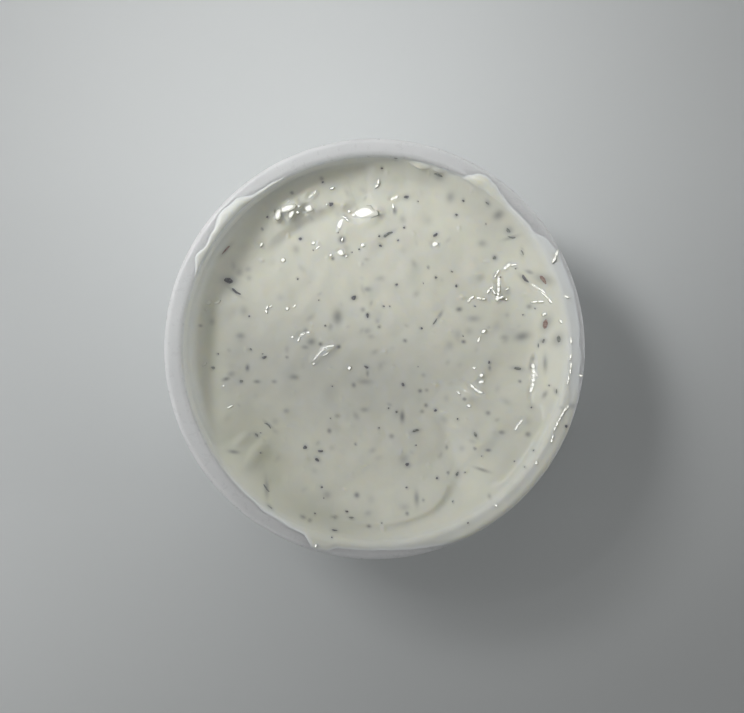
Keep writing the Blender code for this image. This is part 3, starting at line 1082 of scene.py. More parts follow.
@dataclass
class Dip:
    """The dip: one closed body, with its top, the film on the lip, and its sides against the tub."""

    form: DipForm
    cells: int = 280
    bite: float = 0.1 * MM
    finish: CreamFinish = field(default_factory=CreamFinish)
    halos: list = field(default_factory=list)
    stains: tuple = (
        Smudge(-9.4, 31.7, 0.85, 0.9), Smudge(-25.7, 38.6, 0.45, 1.2, 0.7, -20),
        Smudge(-12.1, 26.3, 0.85, 0.5), Smudge(-32.3, 34.6, 0.9, 0.35), Smudge(-23.6, 44.7, 0.8, 0.5, 0.4),
        Smudge(-15.1, 48.8, 0.5, 0.6, 0.5), Smudge(-5.9, 14.9, 0.65, 1.0, 0.7, 15),
        Smudge(-2.0, 10.0, 0.6, 0.8, 0.6, 90), Smudge(-3.3, 11.5, 0.4, 0.7),
        Smudge(-10.7, 9.4, 0.6, 2.0, 1.3, 90), Smudge(-10.9, 8.0, 0.4, 0.8, 0.7),
        Smudge(-2.0, 17.4, 0.45, 1.2, 0.7), Smudge(-20.0, 5.5, 0.45, 0.7),
        Smudge(-18.3, 2.2, 0.6, 1.2, 1.0, 20), Smudge(-20.1, 0.6, 0.45, 1.0, 0.6),
        Smudge(-15.7, 1.5, 0.8, 0.5), Smudge(-10.3, 0.7, 0.85, 0.5), Smudge(-38.8, 3.9, 0.45, 1.2, 0.9),
        Smudge(-50.2, 6.8, 0.6, 0.5, 0.4), Smudge(21.7, 43.6, 0.42, 1.4, 1.2, 90),
        Smudge(5.9, 40.0, 0.65, 0.9, 0.6, 90), Smudge(35.0, 37.9, 0.6, 1.3, 1.1),
        Smudge(31.2, 30.6, 0.38, 1.3, 1.1), Smudge(34.9, 26.5, 0.6, 0.8, 0.7, 90),
        Smudge(24.6, 11.6, 0.8, 0.8, 0.6, 20), Smudge(28.9, 8.9, 0.38, 1.9, 1.0),
        Smudge(44.7, 12.3, 0.55, 0.7), Smudge(42.8, 3.7, 0.62, 2.0, 1.2, 15),
        Smudge(37.8, 3.4, 0.3, 1.2, 0.8), Smudge(25.9, 2.2, 0.8, 0.6, 0.5),
        Smudge(1.4, 6.5, 0.8, 0.5, 0.35, 30), Smudge(8.9, 2.5, 0.8, 0.5), Smudge(15.6, 23.7, 0.7, 0.4),
        Smudge(44.3, 22.0, 0.5, 1.2, 0.5, -30), Smudge(19.1, 10.0, 0.6, 1.4, 0.4, 60),
        Smudge(51.7, 2.7, 0.45, 1.2, 0.9, 72), Smudge(-36.9, -5.4, 0.85, 0.9, 0.5, 85),
        Smudge(-43.0, -8.6, 0.75, 1.0, 0.5, 20), Smudge(-41.6, -7.2, 0.35, 1.2, 0.9, 20),
        Smudge(-34.1, -9.4, 0.6, 0.9, 0.5), Smudge(-29.1, -9.4, 0.5, 0.7, 0.5),
        Smudge(-23.3, -8.1, 0.6, 1.3, 0.8), Smudge(-25.4, -2.3, 0.7, 0.4),
        Smudge(-2.0, -7.0, 0.6, 0.9, 0.4, 90), Smudge(-6.0, -10.4, 0.7, 0.6),
        Smudge(-2.9, -9.4, 0.4, 2.0, 0.8), Smudge(-25.6, -17.9, 0.4, 0.8, 0.7),
        Smudge(-13.1, -23.7, 0.7, 0.6), Smudge(-10.7, -19.4, 0.4, 0.8, 0.5),
        Smudge(-2.9, -17.6, 0.4, 1.2, 0.7), Smudge(-40.3, -29.4, 0.6, 1.4, 0.5, -12),
        Smudge(-5.1, -42.2, 0.75, 0.7), Smudge(-5.5, -27.6, 0.75, 0.35),
        Smudge(-11.4, -47.9, 0.6, 1.0, 0.4), Smudge(-20.2, -47.5, 0.6, 0.9, 0.4, -20),
        Smudge(-18.3, -48.4, 0.6, 0.6, 0.4), Smudge(-1.6, -50.2, 0.75, 0.6, 0.4),
        Smudge(33.5, -5.4, 0.6, 0.7, 0.4, 90), Smudge(48.9, -4.2, 0.55, 2.2, 0.5, 90),
        Smudge(48.4, -12.9, 0.55, 1.1, 0.5, 60), Smudge(26.0, -14.4, 0.8, 0.5),
        Smudge(13.3, -12.1, 0.8, 0.5), Smudge(15.2, -11.9, 0.45, 0.5), Smudge(15.0, -16.3, 0.8, 0.5),
        Smudge(13.9, -18.1, 0.5, 0.6, 0.5), Smudge(8.1, -19.5, 0.7, 1.6, 0.7, 90),
        Smudge(32.6, -18.3, 0.6, 0.6), Smudge(36.2, -23.7, 0.55, 0.9, 0.6), Smudge(43.4, -24.1, 0.6, 0.7),
        Smudge(28.7, -28.4, 0.75, 0.4), Smudge(32.4, -28.8, 0.75, 0.7, 0.4),
        Smudge(21.0, -28.5, 0.55, 0.6, 0.4, 90), Smudge(5.0, -25.3, 0.45, 0.7),
        Smudge(30.7, -34.4, 0.6, 2.0, 0.4, -15), Smudge(21.3, -35.7, 0.7, 0.4),
        Smudge(12.1, -42.8, 0.5, 1.9, 0.7, 90), Smudge(14.0, -43.2, 0.5, 0.4), Smudge(9.3, -46.8, 0.7, 0.5),
        Smudge(55.2, -15.9, 0.55, 1.2, 0.9), Smudge(51.9, -16.3, 0.4, 0.5),
        Smudge(28.0, -14.4, 0.22, 1.7, 1.5), Smudge(42.1, -9.3, 0.8, 0.4),
        Smudge(32.4, -41.5, 0.4, 0.7, 0.5, 90), Smudge(12.1, -23.7, 0.5, 1.3, 0.5, 15),
        Smudge(29.0, -24.7, 0.5, 1.0, 0.6, -65),
    )
    # Painted shade: broad grey ovals that darken the middle, the left, the left shore and a few hollows,
    # where less light falls.
    painted_shades: tuple = (
        Smudge(-3.0, -9.0, 0.23, 32.0, 15.0, -8),
        Smudge(-26.0, -4.0, 0.16, 18.0, 20.0),
        Smudge(-39.5, -4.0, 0.13, 5.0, 17.0),
        Smudge(41.5, 5.5, 0.09, 6.0, 5.0, 15),
        Smudge(33.0, 36.0, 0.16, 8.0, 5.0, -40),
        Smudge(-10.0, -48.0, 0.12, 14.0, 4.5, -8),
    )
    # Whey tint, partly painted shade: olive and darker along the shaded left shore, in the lower-left hollow
    # and near the bottom.
    whey_and_shade_stains: tuple = (
        Smudge(-38.0, -24.0, 0.35, 11.0, 9.0, 0),
        Smudge(-30.0, -34.0, 0.45, 7.0, 4.6, -62),
        Smudge(-18.0, -46.5, 0.35, 13.0, 4.0, -18),
        Smudge(-47.0, 2.0, 0.35, 14.0, 3.0, 90),
    )

    def build(self) -> bpy.types.Object:
        """The dip's mesh and finish.

        Returns:
            The piece: the top on a disc grid, then rings down the wall and over the floor to a middle point.
        """
        share, azimuth = disc_places(self.cells)
        top, lift = self.form.points(share, azimuth)
        top = self.softened(top, share)
        self.normals = self.outward(top)
        top = top + self.normals * self.fine_relief(top, share)[..., None]
        self.top = top
        rim = self.rim_numbers()
        sides, side_faces = self.sides(azimuth.ravel()[rim], rim)
        points = np.vstack((top.reshape(-1, 3), sides))
        faces = [grid_quads(self.cells + 1, self.cells + 1), *side_faces]
        piece = make_piece("dip_body", points, faces)
        self.paint(piece, points, lift)
        piece.data.materials.append(self.finish.material())
        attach(piece, "root")
        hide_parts("dip")
        return piece

    def softened(self, top: np.ndarray, share: np.ndarray) -> np.ndarray:
        """Evens out the turn from the dish to the film: repeated means of each point and its neighbours."""
        band = eased(0.80, 0.85, share) * (1.0 - eased(0.87, 0.90, share))
        weight = (SOFTENED_SHARE * band)[1:-1, 1:-1, None]
        for _ in range(SOFTENINGS):
            mean = (top[:-2, 1:-1] + top[2:, 1:-1] + top[1:-1, :-2] + top[1:-1, 2:]) / 4.0
            top[1:-1, 1:-1] += weight * (mean - top[1:-1, 1:-1])
        return top

    def outward(self, top: np.ndarray) -> np.ndarray:
        """The top's unit normals, turned up."""
        normals = grid_normals(top)
        middle = self.cells // 2
        return normals * math.copysign(1.0, float(normals[middle, middle, 2]))

    def fine_relief(self, top: np.ndarray, share: np.ndarray) -> np.ndarray:
        """Small lumps just under the surface and a faint grain, which both thin out on the film."""
        x, y = top[..., 0], top[..., 1]
        lumps = np.maximum(self.form.medium.at(x, y) - 2.0, 0.0) * 0.20 * MM
        grain = 0.003 * MM * self.form.fine.at(x, y) + 0.012 * MM * self.form.medium.at(x, y)
        return (lumps + grain) * (1.0 - eased(0.86, 0.97, share))

    def rim_numbers(self) -> np.ndarray:
        """The numbers of the grid's edge points, once round."""
        side = self.cells + 1
        numbers = np.arange(side * side).reshape(side, side)
        return np.concatenate((numbers[0, :-1], numbers[:-1, -1], numbers[-1, :0:-1], numbers[:0:-1, 0]))

    def sides(self, azimuth: np.ndarray, rim: np.ndarray) -> tuple[np.ndarray, list]:
        """The body below its top.

        Args:
            azimuth: The azimuth of each edge point.
            rim: The edge points' numbers.

        Returns:
            The added points and their faces, which turn the same way as the top's grid. The rings lie along
            the tub's inner face, just inside the plastic, at set places that are squeezed together where the
            film ends below them.
        """
        face = self.form.face
        heights = face.tub.height - np.array((1.4, 6.1, 7.4, 20.0, 46.0)) * MM
        panel = float(np.interp(39.0 * MM, face.line[:, 0], face.along))
        heel = float(face.at_height(np.array(4.0 * MM)))
        places = [face.lip + 2.5 * MM, *face.at_height(heights), heel, heel - 4.0 * MM, panel]
        end = self.form.film_end(azimuth)
        rings = []
        for index, place in enumerate(places):
            limited = np.minimum(place, end - (index + 1) * 0.15 * MM)
            radius, height = face.raised(limited, np.full(limited.shape, -self.bite))
            rings.append(np.stack((radius * np.cos(azimuth), radius * np.sin(azimuth), height), axis=1))
        start = (self.cells + 1) ** 2
        count = len(rim)
        numbers = np.vstack((rim, start + np.arange(len(rings) * count).reshape(len(rings), count)))
        beside = np.roll(numbers, -1, axis=1)
        quads = np.stack((numbers[:-1], numbers[1:], beside[1:], beside[:-1]), axis=-1).reshape(-1, 4)
        hub = start + len(rings) * count
        middle = np.array(((0.0, 0.0, rings[-1][:, 2].mean()),))
        return np.vstack((*rings, middle)), [quads, fan(numbers[-1][::-1], hub)]

    def paint(self, piece: bpy.types.Object, points: np.ndarray, lift: np.ndarray) -> None:
        """Gives the points their herb, whey and film strengths. The herb strength also carries the painted
        shade, and the whey strength is partly painted shade.
        """
        x, y = points[:, 0], points[:, 1]
        dice = np.random.default_rng(21)
        radius = STAIN_REACH * np.sqrt(dice.uniform(0.0, 1.0, STAIN_COUNT))
        turn = dice.uniform(0.0, TAU, radius.size)
        herb = np.zeros(x.shape)
        for reach, angle in zip(radius, turn):
            length = dice.uniform(0.5, 1.5)
            oval = dice.uniform(0.45, 1.0)
            strength = dice.uniform(0.08, 0.30)
            spin = dice.uniform(0.0, 180.0)
            east, north = reach * math.cos(angle), reach * math.sin(angle)
            stain = Smudge(east, north, strength, length, length * oval, spin)
            herb = np.maximum(herb, stain.at(x, y))
        for stain in (*self.stains, *self.halos):
            herb = np.maximum(herb, stain.at(x, y))
        # The herb strength also carries the painted shade.
        herb = 1.0 - (1.0 - herb) * (1.0 - self.painted_shade_at(x, y))
        whey_and_shade = np.zeros(x.shape)
        for stain in self.whey_and_shade_stains:
            whey_and_shade = whey_and_shade + stain.at(x, y)
        thin = np.zeros(len(points))
        thin[: lift.size] = np.exp(-np.maximum(lift.ravel(), 0.0) / SHEER)
        paint_points(piece, "herb", np.clip(herb, 0.0, 0.9))
        paint_points(piece, "whey_and_shade", np.clip(whey_and_shade, 0.0, 0.8))
        paint_points(piece, "film", np.clip(thin, 0.0, 1.0))

    def painted_shade_at(self, x: np.ndarray, y: np.ndarray) -> np.ndarray:
        """Painted shade on the dip, darker in the middle, to the left and in a few hollows: 1 minus the
        product of what each painted shade leaves.
        """
        left = np.ones(x.shape)
        for painted_shade in self.painted_shades:
            left = left * (1.0 - painted_shade.at(x, y))
        return 1.0 - left

    def seat(self, x: np.ndarray, y: np.ndarray) -> tuple[np.ndarray, np.ndarray]:
        """The nearest points of the top to some places, and the normals there."""
        flat = self.top.reshape(-1, 3)
        nearest = [
            int(np.argmin((flat[:, 0] - east) ** 2 + (flat[:, 1] - north) ** 2))
            for east, north in zip(x, y)
        ]
        return flat[nearest], self.normals.reshape(-1, 3)[nearest]


# ---------------------------------------------------------------- the flecks


class FleckKind(Enum):
    """What a fleck is, with the finish that it has."""

    PEPPER = FleckFinish("pepper", (0.145, 0.147, 0.155), (0.28, 0.28, 0.29))
    HERB = FleckFinish("herb", (0.21, 0.225, 0.205), (0.40, 0.41, 0.37))
    SHRED = FleckFinish("shred", (0.28, 0.185, 0.16), (0.46, 0.37, 0.33))


@dataclass(frozen=True)
class Fleck:
    """One fleck in the dip's top: its place, length, width and direction, in millimetres and degrees."""

    x: float
    y: float
    length: float
    width: float
    turn: float = 0.0


@dataclass
class Flecks:
    """All flecks of one kind, as one piece: chosen ones, and seeded random ones."""

    kind: FleckKind
    chosen: tuple
    seed: int
    scattered: int
    lengths: tuple
    oval: float
    thickness: float
    grown: float = 1.1
    rings: int = 5
    sides: int = 9

    def build(self, dip: Dip) -> bpy.types.Object:
        """The piece.

        Args:
            dip: The dip that the flecks lie in.

        Returns:
            Each fleck is a flattened ball whose radius varies round it as a sum of cosines, laid along the
            dip's surface, a little proud of it.
        """
        dice = np.random.default_rng(self.seed)
        flecks = self.all_flecks()
        x, y, length, width, turn = measures(flecks)
        length, width = length * self.grown, width * self.grown
        seats, normals = dip.seat(x, y)
        latitude = np.linspace(0.0, math.pi, self.rings + 2)[1:-1]
        around = np.arange(self.sides) * TAU / self.sides
        ball = np.stack(
            (
                np.outer(np.sin(latitude), np.cos(around)),
                np.outer(np.sin(latitude), np.sin(around)),
                np.outer(np.cos(latitude), np.ones(self.sides)),
            ),
            axis=-1,
        ).reshape(-1, 3)
        ball = np.vstack((ball, (0.0, 0.0, 1.0), (0.0, 0.0, -1.0)))
        angles = np.arctan2(ball[:, 1], ball[:, 0])
        uneven = np.ones((len(flecks), len(ball)))
        for waves in (2, 3, 5):
            depth = dice.uniform(0.0, 0.30 / math.sqrt(waves), len(flecks))
            phase = dice.uniform(0.0, TAU, len(flecks))
            uneven += depth[:, None] * np.cos(waves * angles[None] + phase[:, None])
        thickness = np.minimum(self.thickness * MM, width * 0.8)
        local = ball[None] * np.stack((length / 2.0, width / 2.0, thickness / 2.0), axis=1)[:, None]
        local[..., :2] *= uneven[..., None]
        bend = dice.uniform(-0.25, 0.25, len(flecks)) / np.maximum(length, 1e-6)
        local[..., 1] += bend[:, None] * local[..., 0] ** 2 * 2.0
        heading = np.stack((np.cos(turn), np.sin(turn), np.zeros(len(flecks))), axis=1)
        side = np.cross(normals, heading)
        side /= np.linalg.norm(side, axis=1, keepdims=True)
        ahead = np.cross(side, normals)
        axes = np.stack((ahead, side, normals), axis=1)
        depth = thickness * dice.uniform(0.08, 0.28, len(flecks))
        placed = np.einsum("nvk,nkd->nvd", local, axes) + (seats - normals * depth[:, None])[:, None]
        quads = grid_quads(self.rings, self.sides, wraps=True)
        top, bottom = np.arange(self.sides), np.arange(self.sides) + (self.rings - 1) * self.sides
        hub = self.rings * self.sides
        caps = np.vstack((fan(top[::-1], hub), fan(bottom, hub + 1)))
        faces = for_each((quads, caps), len(flecks), len(ball))
        piece = make_piece(self.kind.value.name + "_flecks", placed.reshape(-1, 3), faces)
        piece.data.materials.append(self.kind.value.material())
        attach(piece, "root")
        return piece

    def halos(self) -> list:
        """A soft grey stain round each fleck, where the herb shows through the dip."""
        return [Smudge(f.x, f.y, 0.42, f.length * 0.7, f.width * 0.8, f.turn) for f in self.all_flecks()]

    def all_flecks(self) -> list:
        """The chosen flecks, followed by the scattered ones, evenly spread over the top."""
        dice = np.random.default_rng(self.seed + 100)
        found = list(self.chosen)
        for _ in range(self.scattered):
            reach = SCATTER_REACH * math.sqrt(dice.uniform(0.0, 1.0))
            angle = dice.uniform(0.0, TAU)
            length = dice.uniform(*self.lengths)
            width = length * dice.uniform(self.oval, 1.0)
            east, north = reach * math.cos(angle), reach * math.sin(angle)
            found.append(Fleck(east, north, length, width, dice.uniform(0, 180)))
        return found


def all_kinds() -> list:
    """The three kinds of fleck, each with its chosen ones and the number of scattered ones."""
    pepper = (
        Fleck(-42.1, 19.9, 3.3, 1.6, -5), Fleck(-40.5, 16.7, 3.5, 0.7, -38), Fleck(-30.6, 37.9, 0.6, 0.5),
        Fleck(-14.8, 47.9, 0.7, 0.6), Fleck(-12.4, 41.6, 1.2, 1.0, 60), Fleck(-17.7, 28.8, 0.4, 0.3),
        Fleck(-6.6, 28.0, 0.4, 0.4), Fleck(-4.3, 28.8, 0.5, 0.5), Fleck(-22.3, 20.6, 0.6, 0.5),
        Fleck(-36.4, 9.5, 0.5, 0.5), Fleck(-5.9, 14.9, 1.5, 1.1, 15), Fleck(-2.0, 9.7, 1.2, 0.9, 90),
        Fleck(-21.4, 32.0, 1.1, 0.8, 20), Fleck(5.9, 53.4, 1.0, 0.5, -10), Fleck(2.1, 51.5, 0.7, 0.6),
        Fleck(9.2, 43.9, 1.8, 1.0, 8), Fleck(12.5, 42.6, 0.4, 0.4), Fleck(8.7, 35.3, 0.7, 0.6),
        Fleck(1.4, 32.8, 0.6, 0.5), Fleck(1.8, 30.1, 1.1, 0.7, -45), Fleck(6.9, 31.4, 0.6, 0.5),
        Fleck(17.7, 33.1, 1.4, 0.8, 40), Fleck(22.3, 22.5, 0.6, 0.4, -20), Fleck(17.8, 20.8, 0.7, 0.7),
        Fleck(6.3, 18.6, 0.7, 0.7), Fleck(23.9, 18.5, 0.7, 0.7), Fleck(36.3, 20.9, 0.7, 0.5),
        Fleck(40.8, 23.3, 0.5, 0.4), Fleck(2.6, 12.4, 0.6, 0.5), Fleck(4.5, 12.4, 0.4, 0.4),
        Fleck(29.1, 12.5, 0.6, 0.4, -20), Fleck(43.2, 9.9, 0.5, 0.4), Fleck(46.2, 11.8, 0.5, 0.4),
        Fleck(13.5, 6.1, 0.7, 0.6, -30), Fleck(43.1, 20.0, 3.1, 0.8, -48), Fleck(23.6, 38.6, 0.9, 0.7),
        Fleck(25.4, 42.5, 0.7, 0.7), Fleck(-45.5, -1.4, 0.5, 0.5), Fleck(-32.1, -2.4, 1.4, 0.8, 10),
        Fleck(-2.2, -5.1, 1.2, 0.7, -25), Fleck(-20.0, -28.4, 1.1, 1.0), Fleck(-16.5, -32.0, 1.5, 0.9, -40),
        Fleck(-15.4, -39.9, 0.6, 0.6), Fleck(-8.0, -46.6, 0.9, 0.5, -20),
        Fleck(-11.2, -51.1, 1.5, 0.6, -12), Fleck(-11.8, -52.4, 0.5, 0.5), Fleck(-15.5, -29.7, 1.4, 0.7),
        Fleck(33.5, -4.0, 0.8, 0.6, 90), Fleck(44.8, -16.5, 0.5, 0.5), Fleck(4.2, -17.2, 0.5, 0.4),
        Fleck(24.1, -20.3, 0.5, 0.5), Fleck(9.7, -33.7, 1.4, 1.0, 10), Fleck(18.2, -37.2, 0.7, 0.7),
        Fleck(26.0, -35.5, 0.4, 0.4), Fleck(44.6, -28.5, 0.5, 0.5), Fleck(42.0, -33.0, 0.5, 0.5),
        Fleck(53.3, -21.5, 0.8, 0.8), Fleck(9.4, -40.0, 0.6, 0.5), Fleck(26.0, -48.5, 0.5, 0.4),
        Fleck(8.4, -10.4, 1.2, 0.8, -40), Fleck(17.7, -17.6, 0.9, 0.8),
    )
    herb = (
        Fleck(18.1, 49.0, 2.4, 1.2, -30), Fleck(32.0, 41.1, 1.4, 0.7, -50),
        Fleck(38.2, 33.7, 1.7, 1.2, -50), Fleck(38.8, 31.7, 2.7, 0.6, 12), Fleck(3.9, 33.2, 3.5, 0.7, 30),
        Fleck(17.6, 8.0, 2.1, 0.4, 60), Fleck(48.3, 2.3, 1.4, 1.0, 30), Fleck(47.2, 1.2, 1.2, 0.4, 80),
        Fleck(42.0, 27.6, 1.9, 0.4, -82), Fleck(-30.8, -39.6, 3.6, 0.7, -80),
        Fleck(-34.2, -24.9, 1.3, 0.7, -50), Fleck(-29.3, -44.3, 1.9, 0.5, -42),
        Fleck(-46.9, -5.5, 1.0, 0.8), Fleck(-6.6, -48.2, 1.4, 0.5, -15), Fleck(-30.7, -21.9, 2.5, 0.5, -40),
        Fleck(41.5, -5.6, 2.5, 0.8, -8), Fleck(51.1, -12.0, 1.4, 0.6, -75),
        Fleck(12.1, -23.8, 2.1, 0.7, 15), Fleck(29.0, -24.7, 1.8, 0.8, -65),
        Fleck(23.9, -36.1, 1.5, 0.7, 65), Fleck(45.7, -5.2, 1.1, 0.9), Fleck(51.8, 2.7, 2.7, 1.6, 72),
        Fleck(34.9, 26.4, 1.1, 1.0, 40),
    )
    shred = (
        Fleck(-42.7, 28.4, 3.7, 0.6, 47), Fleck(47.8, 19.7, 3.8, 1.6, -28), Fleck(49.1, 7.4, 3.3, 1.6, 72),
    )
    return [
        Flecks(FleckKind.PEPPER, pepper, 31, 14, (0.25, 0.5), 0.7, 0.40),
        Flecks(FleckKind.HERB, herb, 32, 10, (0.4, 0.9), 0.45, 0.25),
        Flecks(FleckKind.SHRED, shred, 33, 0, (0.5, 1.4), 0.3, 0.40),
    ]


# ---------------------------------------------------------------- the wet beads


@dataclass
class Beads:
    """All wet beads, as one piece: tiny flat-topped lumps in the dip, each tilted to the window."""

    seed: int = 51
    sides: int = 11
    steps: tuple = (0.45, 0.86, 1.0, 1.16)
    drops: tuple = (0.0, 0.0, 0.015, 0.09)
    finish: CreamFinish = field(default_factory=CreamFinish)

    def build(self, dip: Dip) -> bpy.types.Object:
        """The piece.

        Args:
            dip: The dip that the beads stand in.

        Returns:
            Each bead is rings of an uneven oval. The inner ones lie in a plane with the wanted slopes, raised
            until its lowest edge clears the dip, the outer ones drop, and the last lies under the dip.
        """
        dice = np.random.default_rng(self.seed)
        beads = [bead for glint in dip.form.glints for bead in glint.facets()]
        x, y, length, width, turn = measures(beads)
        slopes = np.array([bead.wanted() for bead in beads])
        seats, normals = dip.seat(x, y)
        around = np.arange(self.sides) * TAU / self.sides
        uneven = np.ones((len(beads), self.sides))
        for waves in (2, 3, 4):
            depth = dice.uniform(0.0, 0.22 / math.sqrt(waves), len(beads))
            phase = dice.uniform(0.0, TAU, len(beads))
            uneven += depth[:, None] * np.cos(waves * around[None] + phase[:, None])
        reach = np.array((*self.steps, BEAD_ROOT_REACH))[None, :, None]
        along = reach * (uneven * np.cos(around) * length[:, None] / 2.0)[:, None]
        across = reach * (uneven * np.sin(around) * width[:, None] / 2.0)[:, None]
        c, s = np.cos(turn)[:, None, None], np.sin(turn)[:, None, None]
        east, north = along * c - across * s, along * s + across * c
        leans = -normals[:, :2] / normals[:, 2:]
        ground = seats[:, 2] + np.sum(leans * (np.stack((x, y), axis=1) - seats[:, :2]), axis=1)
        ground = ground[:, None, None] + leans[:, 0, None, None] * east + leans[:, 1, None, None] * north
        plane = slopes[:, 0, None, None] * east + slopes[:, 1, None, None] * north
        middle = np.max((ground - plane)[:, 2], axis=1) + BEAD_CLEARANCE
        plane = middle[:, None, None] + plane
        height = plane - np.array((*self.drops, 0.0))[None, :, None] * width[:, None, None]
        height[:, -1] = np.minimum(ground, plane)[:, -1] - BEAD_ROOT
        foot = height[:, -1].mean(axis=1)
        hubs = np.stack([np.stack((x, y, level), axis=1) for level in (middle, foot)], axis=1)
        rings = np.stack((x[:, None, None] + east, y[:, None, None] + north, height), axis=-1)
        points = np.concatenate((rings.reshape(len(beads), -1, 3), hubs), axis=1)
        quads = grid_quads(len(self.steps) + 1, self.sides, wraps=True)
        top = np.arange(self.sides)
        hub = (len(self.steps) + 1) * self.sides
        caps = np.vstack((fan(top[::-1], hub), fan(top + hub - self.sides, hub + 1)))
        faces = for_each((quads, caps), len(beads), points.shape[1])
        piece = make_piece("wet_beads", points.reshape(-1, 3), faces)
        # The beads take the dip's painted shade in their herb strength.
        painted_shade = np.repeat(dip.painted_shade_at(x, y), points.shape[1])
        for attribute, values in (("herb", painted_shade), ("whey_and_shade", 0.0 * painted_shade), ("film", 0.0 * painted_shade)):
            paint_points(piece, attribute, values)
        piece.data.materials.append(self.finish.material(wet=True))
        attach(piece, "root")
        return piece


# ---------------------------------------------------------------- the smear on the lip


@dataclass
class LipSmear:
    """A wipe of dip on the lip: a closed lens between two ragged edges, thickest in between."""

    name: str
    form: DipForm
    start: float
    end: float
    inner_edge: tuple
    outer_edge: tuple
    thickness: float
    seed: int
    columns: int = 150
    rows: int = 22

    def build(self, material: bpy.types.Material) -> bpy.types.Object:
        """The piece.

        Args:
            material: The dip's material.

        Returns:
            A closed surface of the azimuth and the way across. Its upper face is the tub's face lifted by
            thickness (1 - v^2)^1.5 times a round fade to the ends, and its lower face lies in the plastic.
        """
        face = self.form.face
        u = np.linspace(0.0, 1.0, self.columns)[:, None]
        v = np.linspace(-1.0, 1.0, self.rows)[None]
        azimuth = np.radians(self.start + (self.end - self.start) * u)
        wander = Ripples(self.seed, 5.0 * MM)
        east, north = 0.056 * np.cos(azimuth), 0.056 * np.sin(azimuth)
        inner = round_the_tub(self.inner_edge, azimuth) * MM + 0.04 * MM * wander.at(east, north)
        outer = round_the_tub(self.outer_edge, azimuth) * MM + 0.08 * MM * wander.at(east + 1.0, north)
        middle, half = (inner + outer) / 2.0, np.maximum(outer - inner, 0.2 * MM) / 2.0
        ends = np.sqrt(np.clip(1.0 - (2.0 * u - 1.0) ** 8, 0.0, 1.0))
        half = half * ends
        place = face.lip + middle + half * v
        bulge = np.clip(1.0 - v**2, 0.0, 1.0) ** 1.5 * ends
        grain = 1.0 + 0.12 * wander.at(east + place, north)
        lift = self.thickness * MM * bulge * np.clip(grain, 0.3, 1.8)
        sheets = []
        for raised in (lift, -0.12 * MM * bulge):
            radius, height = face.raised(place, raised)
            turned = (radius * np.cos(azimuth), radius * np.sin(azimuth), height)
            sheets.append(np.stack(np.broadcast_arrays(*turned), axis=-1))
        count = self.columns * self.rows
        numbers = np.arange(count).reshape(self.columns, self.rows)
        under = numbers + count
        under[:, 0], under[:, -1] = numbers[:, 0], numbers[:, -1]
        under[0], under[-1] = numbers[0], numbers[-1]
        upper_quads = grid_quads(self.columns, self.rows)
        lower_quads = under.ravel()[upper_quads][:, ::-1]
        points = np.vstack([sheet.reshape(-1, 3) for sheet in sheets])
        used, packed = np.unique(np.vstack((upper_quads, lower_quads)), return_inverse=True)
        faces = packed.reshape(-1, 4)
        piece = make_piece(self.name, points[used], [faces])
        thin = np.zeros(len(points))
        thin[:count] = np.exp(-lift.ravel() / SHEER)
        nothing = np.zeros(len(used))
        for attribute, values in (("film", thin[used]), ("herb", nothing), ("whey_and_shade", nothing + 0.1)):
            paint_points(piece, attribute, values)
        piece.data.materials.append(material)
        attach(piece, "root")
        return piece


# ---------------------------------------------------------------- the studio


@dataclass
class Lamp:
    """A soft studio light on a sphere round the tub, aimed at a place on the table.

    Only the one that shines is seen in the gloss. The others fill in without a reflection of their own.
    """

    name: str
    azimuth: float
    elevation: float
    watts: float
    distance: float = 0.6
    aim: tuple = (0.0, 0.0)
    shines: bool = False

    def light(self) -> bpy.types.Light:
        """The light's own data. Each kind of lamp makes its own."""
        raise NotImplementedError

    def hang(self) -> bpy.types.Object:
        """Places the light and turns it to its aim."""
        lamp = self.light()
        lamp.energy = self.watts
        made = bpy.data.objects.new(self.name, lamp)
        made.visible_glossy = self.shines
        turn, rise = math.radians(self.azimuth), math.radians(self.elevation)
        away = Vector((math.cos(turn) * math.cos(rise), math.sin(turn) * math.cos(rise), math.sin(rise)))
        made.location = away * self.distance
        target = Vector((*self.aim, CAD_BOX[1].z))
        made.rotation_euler = (made.location - target).to_track_quat("Z", "Y").to_euler()
        bpy.context.scene.collection.objects.link(made)
        return made


@dataclass
class SoftBox(Lamp):
    """A rectangular light."""

    width: float = 0.3
    depth: float = 0.3

    def light(self) -> bpy.types.Light:
        """An area light of the box's size."""
        lamp = bpy.data.lights.new(self.name, "AREA")
        lamp.shape = "RECTANGLE"
        lamp.size, lamp.size_y = self.width, self.depth
        return lamp


@dataclass
class SoftSpot(Lamp):
    """A round light whose cone fades evenly from its middle to its edge."""

    cone: float = 24.0
    radius: float = 0.1

    def light(self) -> bpy.types.Light:
        """A spot light with a full blend."""
        lamp = bpy.data.lights.new(self.name, "SPOT")
        lamp.spot_size = math.radians(self.cone)
        lamp.spot_blend = 1.0
        lamp.shadow_soft_size = self.radius
        return lamp


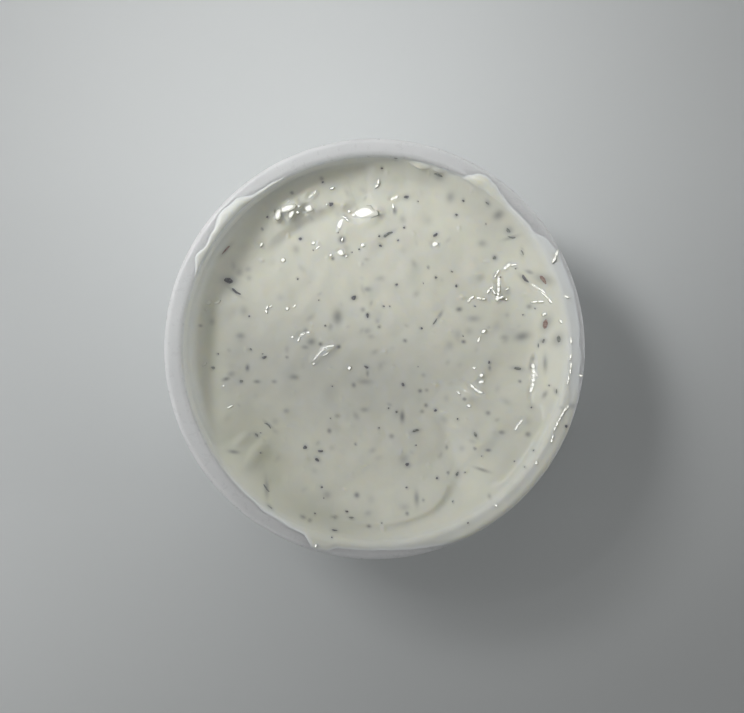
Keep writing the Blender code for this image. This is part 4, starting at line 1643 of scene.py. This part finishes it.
@dataclass
class Studio:
    """The pale floor, the soft lights and the camera straight above the tub."""

    floor_half: float = 3.0
    camera_rise: float = 270.0 * MM
    camera_shift: tuple = (-0.7 * MM, -2.1 * MM)
    lens: float = 47.0
    ambient: float = 0.158
    floor: FloorFinish = field(default_factory=FloorFinish)
    lights: tuple = (
        SoftBox("window", 141.0, 48.0, 0.66, width=0.15, depth=0.10, shines=True),
        SoftSpot("window_glow", 141.0, 50.0, 13.0, aim=(-20.0 * MM, 106.0 * MM), cone=20.0),
        SoftSpot("high_glow", 115.0, 66.0, 3.4, aim=(-90.0 * MM, 70.0 * MM), cone=21.0),
        SoftSpot("left_glow", 160.0, 50.0, 2.6, aim=(-140.0 * MM, -50.0 * MM), cone=18.0),
        SoftBox("low_fill", 160.0, 16.0, 0.38),
        SoftBox("near_fill", 200.0, 30.0, 0.11, distance=0.30, width=0.12, depth=0.12),
        SoftBox("top_fill", 95.0, 60.0, 0.195),
        SoftBox("right_fill", 30.0, 9.0, 0.57),
        SoftSpot("wall_glow", 0.0, 11.0, 16.0, aim=(-55.0 * MM, 0.0), cone=9.5),
        SoftSpot("bank_fill", 322.0, 30.0, 5.4, aim=(-38.0 * MM, 30.0 * MM), cone=7.0),
    )

    def set_up(self) -> None:
        """Lays the floor, hangs the lights and places the camera."""
        half = self.floor_half
        drop = -0.2 * MM
        edges = ((-half, -half), (half, -half), (half, half), (-half, half))
        corners = np.array([(east, north, drop) for east, north in edges])
        mesh = bpy.data.meshes.new("floor")
        mesh.from_pydata(corners.tolist(), [], [(0, 1, 2, 3)])
        mesh.materials.append(self.floor.material())
        floor = bpy.data.objects.new("floor", mesh)
        bpy.context.scene.collection.objects.link(floor)
        for light in self.lights:
            light.hang()
        self.set_world()
        self.set_camera()

    def set_world(self) -> None:
        """An even, dim sky."""
        world = bpy.data.worlds.new("studio")
        world.use_nodes = True
        sky = world.node_tree.nodes["Background"]
        sky.inputs["Color"].default_value = (1.0, 1.0, 1.0, 1.0)
        sky.inputs["Strength"].default_value = self.ambient
        bpy.context.scene.world = world
        bpy.context.scene.view_settings.view_transform = "Standard"

    def set_camera(self) -> None:
        """A camera that looks straight down."""
        lens = bpy.data.cameras.new("camera")
        lens.lens = self.lens
        lens.sensor_width = 36.0
        lens.clip_start = 0.01
        camera = bpy.data.objects.new("camera", lens)
        camera.location = (*self.camera_shift, CAD_BOX[1].z + self.camera_rise)
        bpy.context.scene.collection.objects.link(camera)
        bpy.context.scene.camera = camera


# ---------------------------------------------------------------- building it


def main() -> None:
    """Builds the tub, the dip, its smear and flecks, and the studio."""
    logging.basicConfig(level=logging.INFO, format="%(name)s: %(message)s")
    tub = Tub()
    shell = tub.build()
    LOG.info("%s: %d faces", shell.name, len(shell.data.polygons))
    form = DipForm(InnerFace(tub))
    kinds = all_kinds()
    dip = Dip(form, halos=[halo for kind in kinds for halo in kind.halos()])
    body = dip.build()
    LOG.info("%s: %d faces", body.name, len(body.data.polygons))
    smear = LipSmear(
        "lip_smear", form, 118.0, 158.0,
        ((118, 0.3), (128, 0.2), (145, 0.5), (158, 0.4)),
        ((118, 1.2), (128, 1.4), (133, 3.8), (139, 4.1), (144, 2.6), (148, 2.0), (152, 3.0), (158, 1.3)),
        0.42, 41,
    )
    wipe = smear.build(body.data.materials[0])
    LOG.info("%s: %d faces", wipe.name, len(wipe.data.polygons))
    for kind in kinds:
        piece = kind.build(dip)
        LOG.info("%s: %d faces", piece.name, len(piece.data.polygons))
    beads = Beads().build(dip)
    LOG.info("%s: %d faces", beads.name, len(beads.data.polygons))
    Studio().set_up()


if __name__ == "__main__":
    main()
